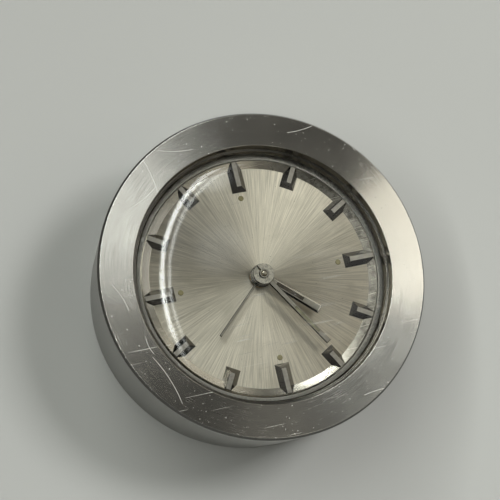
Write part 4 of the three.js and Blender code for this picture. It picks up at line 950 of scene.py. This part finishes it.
turned_steel = Finish("turned_arbor_steel")
turned_steel.metal(
    TURNED_COLOURS, turned_steel.cloud(500), rough=0.2, lines=turned_steel.drawn(TURNED_LINES),
    lined=0.14, depth=0.003)
refinished(turned_steel, "pillar_1", "pillar_2", "pillar_3", "pillar_4")

# ----
# Wheels and barrels: cut and turned from brass, with a fine round finish on their faces and a
# little tarnish. The wheels behind the dial that carry the hands are made alike.

WHEEL_COLOURS = ((0.56, 0.39, 0.16), (0.74, 0.57, 0.28))

wheel_brass = Finish("turned_wheel_brass")
wheel_brass.metal(
    WHEEL_COLOURS, wheel_brass.smudge(240), rough=0.2, rougher=0.1, lines=wheel_brass.noise(5200),
    lined=0.1, depth=0.002)
refinished(wheel_brass, "centre_wheel", "third_wheel", "fourth_wheel", "escape_wheel",
           "balance_wheel", "time_barrel", "alarm_barrel", "strike_wheel", "cannon_pinion",
           "minute_wheel", "hour_wheel", "alarm_wheel", "alarm_set_arbor")

# ----
# Springs: the two mainsprings, the hairspring and the leaf that presses on the hour wheel, of
# hardened steel blued by heat, which fades to straw where it was hottest.

BLUE_COLOURS, STRAW_COLOUR = ((0.07, 0.1, 0.22), (0.14, 0.2, 0.42)), (0.42, 0.3, 0.16)

blued = Finish("blued_spring_steel")
blued_cloud = blued.cloud(400)
blued_straw = blued.rise(blued.noise(160), 0.58, 0.75) * 0.6
blued.solid(
    base_color=blued.mixed(blued_straw, blued.mixed(blued_cloud, *BLUE_COLOURS), STRAW_COLOUR),
    metallic=1.0,
    roughness=0.16 + blued_cloud * 0.14,
)
refinished(blued, "time_mainspring", "alarm_mainspring", "hairspring", "alarm_release_spring")

# ----
# Levers, clicks and winding arbors: small pieces of polished steel, hardened and lightly worn
# where they rub.

refinished(turned_steel, "time_winding_arbor", "alarm_winding_arbor", "time_click",
           "alarm_click", "pallet_lever", "regulator_lever", "alarm_hammer")

# ----
# Back cover: a shallow steel pan with a fine round finish, set deep in the drum, with holes for
# the keys, knobs, button and regulator. The post that the alarm strikes is riveted inside.

COVER_RADIUS, COVER_LOW, COVER_TOP, COVER_RIM_TOP, COVER_INSIDE = 33.118, 6.7, 7.5, 9.5, 32.318
COVER_EDGE, COVER_DEPTH = 0.1, 0.003
SCREW_CIRCLE, SCREW_TURNS, SCREW_HOLE = 27.0, (45, 200, 305), 0.92
REGULATOR_MIDDLE, REGULATOR_REACH, REGULATOR_TURN = (21.18, 6.2), 6.0, 16.3
REGULATOR_HALF_WIDTH, REGULATOR_HALF_SWING, REGULATOR_STEPS = 0.8, 32.6, 12
REGULATOR_SIDES = 24
GONG_RADIUS, GONG_LOW, GONG_TOP, GONG_PLACE = 1.4, 7.1, 13.0, (-0.089, -26.316)
COVER_COLOURS = ((0.46, 0.455, 0.43), (0.6, 0.595, 0.57))
COVER_HAIRLINES = (50, 60, 6500, 0.76)
# Each hole: middle, radius.
COVER_HOLES = [
    ((-9.98, -6.99), 1.8), ((11.33, -8.23), 1.8), ((1.61, -10.92), 1.0), ((10.93, 1.54), 1.0),
    ((5.3, -20.9), 1.2),
]


def joined_to(piece, addition):
    combined(piece, addition, "UNION")


def at_turn(radius, degrees, middle=(0, 0)):
    turn = radians(degrees)
    return middle[0] + radius * cos(turn), middle[1] + radius * sin(turn)


cover = turned_piece("rear_cover", [
    (COVER_RADIUS, COVER_LOW), (COVER_RADIUS, COVER_RIM_TOP), (COVER_INSIDE, COVER_RIM_TOP),
    (COVER_INSIDE, COVER_TOP), (0, COVER_TOP)])
screw_holes = [(at_turn(SCREW_CIRCLE, degrees), SCREW_HOLE) for degrees in SCREW_TURNS]
for middle, radius in COVER_HOLES + screw_holes:
    cut_away(cover, plug("hole", radius, COVER_LOW - SPARE, COVER_TOP + SPARE, middle))
for step in range(REGULATOR_STEPS + 1):
    degrees = REGULATOR_TURN + REGULATOR_HALF_SWING * (2 * step / REGULATOR_STEPS - 1)
    middle = at_turn(REGULATOR_REACH, degrees, REGULATOR_MIDDLE)
    cut_away(cover, plug("slot", REGULATOR_HALF_WIDTH, COVER_LOW - SPARE, COVER_TOP + SPARE, middle,
                         REGULATOR_SIDES))
joined_to(cover, plug("post", GONG_RADIUS, GONG_LOW, GONG_TOP, GONG_PLACE))
rounded(cover, COVER_EDGE)
cover_steel = Finish("round_finished_cover_steel")
cover_lines = cover_steel.noise(1, 3, vector=ring_brushing(cover_steel, 5000, 3))
cover_cloud = cover_steel.smudge(110)
cover_hairs = cover_steel.hairlines(*COVER_HAIRLINES)
cover_steel.solid(
    base_color=cover_steel.mixed(cover_cloud * 0.6 + cover_lines * 0.4, *COVER_COLOURS),
    metallic=1.0,
    roughness=0.26 + cover_cloud * 0.12 + cover_hairs * 0.2,
    anisotropic=0.6,
    anisotropic_rotation=0.25,
    normal=cover_steel.bumped(cover_lines, COVER_DEPTH),
)
dressed(cover, cover_steel.material, "case", "brushed_steel", "back_cover")

# ----
# Cover screws: three cheese-head steel screws with a sawn slot, driven into posts of the plate.
# The heads are turned and lightly scratched by the screwdriver.

SCREW_HEAD, SCREW_HEAD_LOW, SCREW_SHANK, SCREW_TOP, SCREW_POINT = 1.6, 5.9, 0.8, 8.6, 0.2
SCREW_SLOT, SCREW_SLOT_DEPTH, SCREW_SLOT_TURN = 0.45, 0.35, 25
SCREW_EDGE, SCREW_SIDES = 0.12, 48
SCREW_COLOURS = ((0.36, 0.37, 0.39), (0.56, 0.57, 0.58))
SCREW_HAIRLINES = (15, 200, 9000, 0.7)

screw_steel = Finish("turned_screw_steel")
screw_steel.metal(
    SCREW_COLOURS, screw_steel.cloud(900), rough=0.22, rougher=0.16,
    lines=screw_steel.hairlines(*SCREW_HAIRLINES), lined=0.2)
blank = turned_piece("screw_blank", [
    (SCREW_HEAD, SCREW_HEAD_LOW), (SCREW_HEAD, COVER_LOW), (SCREW_SHANK, COVER_LOW),
    (SCREW_SHANK, SCREW_TOP - SCREW_POINT), (SCREW_SHANK * 0.6, SCREW_TOP), (0, SCREW_TOP)], SCREW_SIDES)
saw = bar("saw", SCREW_SLOT, 2 * SCREW_HEAD + SPARE, SCREW_HEAD_LOW - SPARE,
          SPARE + SCREW_SLOT_DEPTH, -SCREW_HEAD - SPARE / 2)
for number, degrees in enumerate(SCREW_TURNS, 1):
    middle = at_turn(SCREW_CIRCLE, degrees)
    screw = copied(blank, f"slotted_screw_{number}", middle)
    cut_away(screw, copied(saw, "stroke", middle, degrees + SCREW_SLOT_TURN))
    rounded(screw, SCREW_EDGE)
    dressed(screw, screw_steel.material, "case", "plain_steel", f"cover_screw_{number}")
bpy.data.objects.remove(blank)
bpy.data.objects.remove(saw)

# ----
# Winding keys: two flat steel keys with round pierced wings, each brazed to a round hub that is
# screwed on its winding arbor.

KEY_WING, KEY_WING_OUT, KEY_WING_HIGH, KEY_EYE, KEY_THICKNESS = 1.9, 4.1, 2.7, 1.1, 1.6
KEY_HUB, KEY_HUB_LOW, KEY_TOP, KEY_SEAT, KEY_SEAT_LOW = 2.3, 3.5, 6.2, 1.32, 3.8
KEY_WEB_LOW, KEY_WEB_TOP, KEY_WEB_SHARE = 1.75, 5.4, 0.95
KEY_EDGE, KEY_ANGLE, KEY_SEGMENTS, KEY_SIDES = 0.22, 35, 3, 64
KEY_COLOURS = ((0.5, 0.49, 0.45), (0.66, 0.65, 0.61))
KEY_HAIRLINES = (60, 120, 8000, 0.72)
KEY_PLACES = [("time_key", (-9.977, -6.986)), ("alarm_key", (11.326, -8.229))]

key_steel = Finish("polished_key_steel")
key_steel.metal(
    KEY_COLOURS, key_steel.smudge(250), rough=0.16, rougher=0.12,
    lines=key_steel.hairlines(*KEY_HAIRLINES), lined=0.25, depth=-0.004)


def cross_disc(name, radius, middle, thickness):
    """A disc that stands on edge in a key's wing."""
    nothing_chosen()
    bpy.ops.mesh.primitive_cylinder_add(
        vertices=KEY_SIDES, radius=radius * MM, depth=thickness * MM,
        rotation=(radians(90), 0, 0), location=metres(*middle, KEY_WING_HIGH))
    return settled(name)


for name, (across, up) in KEY_PLACES:
    nothing_chosen()
    bpy.ops.mesh.primitive_cube_add(
        size=1, location=metres(across, up, (KEY_WEB_LOW + KEY_WEB_TOP) / 2))
    bpy.context.object.scale = metres(2 * KEY_WING_OUT, KEY_THICKNESS, KEY_WEB_TOP - KEY_WEB_LOW)
    key = settled(name + "_wings")
    corners_squeezed(key, lambda at: at.z > KEY_WEB_LOW + 1,
                     KEY_HUB * KEY_WEB_SHARE / KEY_WING_OUT, 1, (across, up, 0))
    for out in (-KEY_WING_OUT, KEY_WING_OUT):
        joined_to(key, cross_disc("wing", KEY_WING, (across + out, up), KEY_THICKNESS))
        cut_away(key, cross_disc("eye", KEY_EYE, (across + out, up), KEY_THICKNESS + 2 * SPARE))
    joined_to(key, plug("hub", KEY_HUB, KEY_HUB_LOW, KEY_TOP, (across, up), KEY_SIDES))
    cut_away(key, plug("seat", KEY_SEAT, KEY_SEAT_LOW, KEY_TOP + SPARE, (across, up)))
    rounded(key, KEY_EDGE, KEY_ANGLE, KEY_SEGMENTS)
    dressed(key, key_steel.material, name, "plain_steel", name)

# ----
# Setting knobs: two turned steel knobs with fluted rims and dished ends, pushed on the ends of
# the setting arbors.

KNOB_RADIUS, KNOB_LOW, KNOB_TOP, KNOB_ROUND, KNOB_CHAMFER = 3.2, 2.6, 6.2, 0.35, 0.25
KNOB_FLUTES, KNOB_FLUTE, KNOB_FLUTE_OUT, KNOB_FLUTE_SIDES = 16, 0.45, 0.55, 24
KNOB_DISH, KNOB_DISH_DEPTH, KNOB_DISH_SLOPE, KNOB_SEAT, KNOB_SEAT_LOW = 2.2, 0.35, 0.5, 0.82, 4.0
KNOB_EDGE, KNOB_ANGLE, KNOB_SIDES, KNOB_DISH_SIDES = 0.06, 35, 128, 96
KNOB_PLACES = [
    ("time_set_knob", "minute_wheel", (1.613, -10.922)),
    ("alarm_set_knob", "alarm_set_arbor", (10.933, 1.536)),
]
KNOB_PROFILE = [
    (KNOB_DISH, KNOB_LOW + 0.01), (KNOB_RADIUS - KNOB_ROUND, KNOB_LOW),
    (KNOB_RADIUS, KNOB_LOW + KNOB_ROUND), (KNOB_RADIUS, KNOB_TOP - KNOB_CHAMFER),
    (KNOB_RADIUS - KNOB_CHAMFER, KNOB_TOP), (0, KNOB_TOP),
]
DISH_PROFILE = [
    (KNOB_DISH, KNOB_LOW - SPARE), (KNOB_DISH, KNOB_LOW),
    (KNOB_DISH - KNOB_DISH_SLOPE, KNOB_LOW + KNOB_DISH_DEPTH), (0, KNOB_LOW + KNOB_DISH_DEPTH),
]

for name, body, middle in KNOB_PLACES:
    knob = turned_piece(name + "_fluted", KNOB_PROFILE, KNOB_SIDES, middle)
    for flute in range(KNOB_FLUTES):
        turn = 360 * (flute + 0.5) / KNOB_FLUTES
        groove = at_turn(KNOB_RADIUS + KNOB_FLUTE * KNOB_FLUTE_OUT, turn, middle)
        cut_away(knob, plug(
            "flute", KNOB_FLUTE, KNOB_LOW - SPARE, KNOB_TOP + SPARE, groove, KNOB_FLUTE_SIDES))
    cut_away(knob, turned_piece("dish", DISH_PROFILE, KNOB_DISH_SIDES, middle))
    cut_away(knob, plug("seat", KNOB_SEAT, KNOB_SEAT_LOW, KNOB_TOP + SPARE, middle))
    rounded(knob, KNOB_EDGE, KNOB_ANGLE)
    dressed(knob, key_steel.material, body, "plain_steel", name)

# ----
# Alarm stop button: a small domed steel button on a stem that runs through the cover. It is
# turned in one piece and polished.

BUTTON_MIDDLE, BUTTON_RADIUS, BUTTON_TOP, BUTTON_EDGE, BUTTON_SIDES = (5.302, -20.898), 2.0, 4.8, 0.08, 64
BUTTON_DOME = [(0.7, 2.6), (1.4, 2.78), (1.85, 3.1), (BUTTON_RADIUS, 3.5)]
STEM_RADIUS, STEM_TOP, STEM_CHAMFER = 0.9, 8.8, 0.15

button = turned_piece("domed_button", BUTTON_DOME + [
    (BUTTON_RADIUS, BUTTON_TOP), (STEM_RADIUS, BUTTON_TOP), (STEM_RADIUS, STEM_TOP - STEM_CHAMFER),
    (STEM_RADIUS - STEM_CHAMFER, STEM_TOP), (0, STEM_TOP)], BUTTON_SIDES, BUTTON_MIDDLE)
rounded(button, BUTTON_EDGE)
dressed(button, key_steel.material, "alarm_stop_button", "plain_steel", "alarm_stop_button")
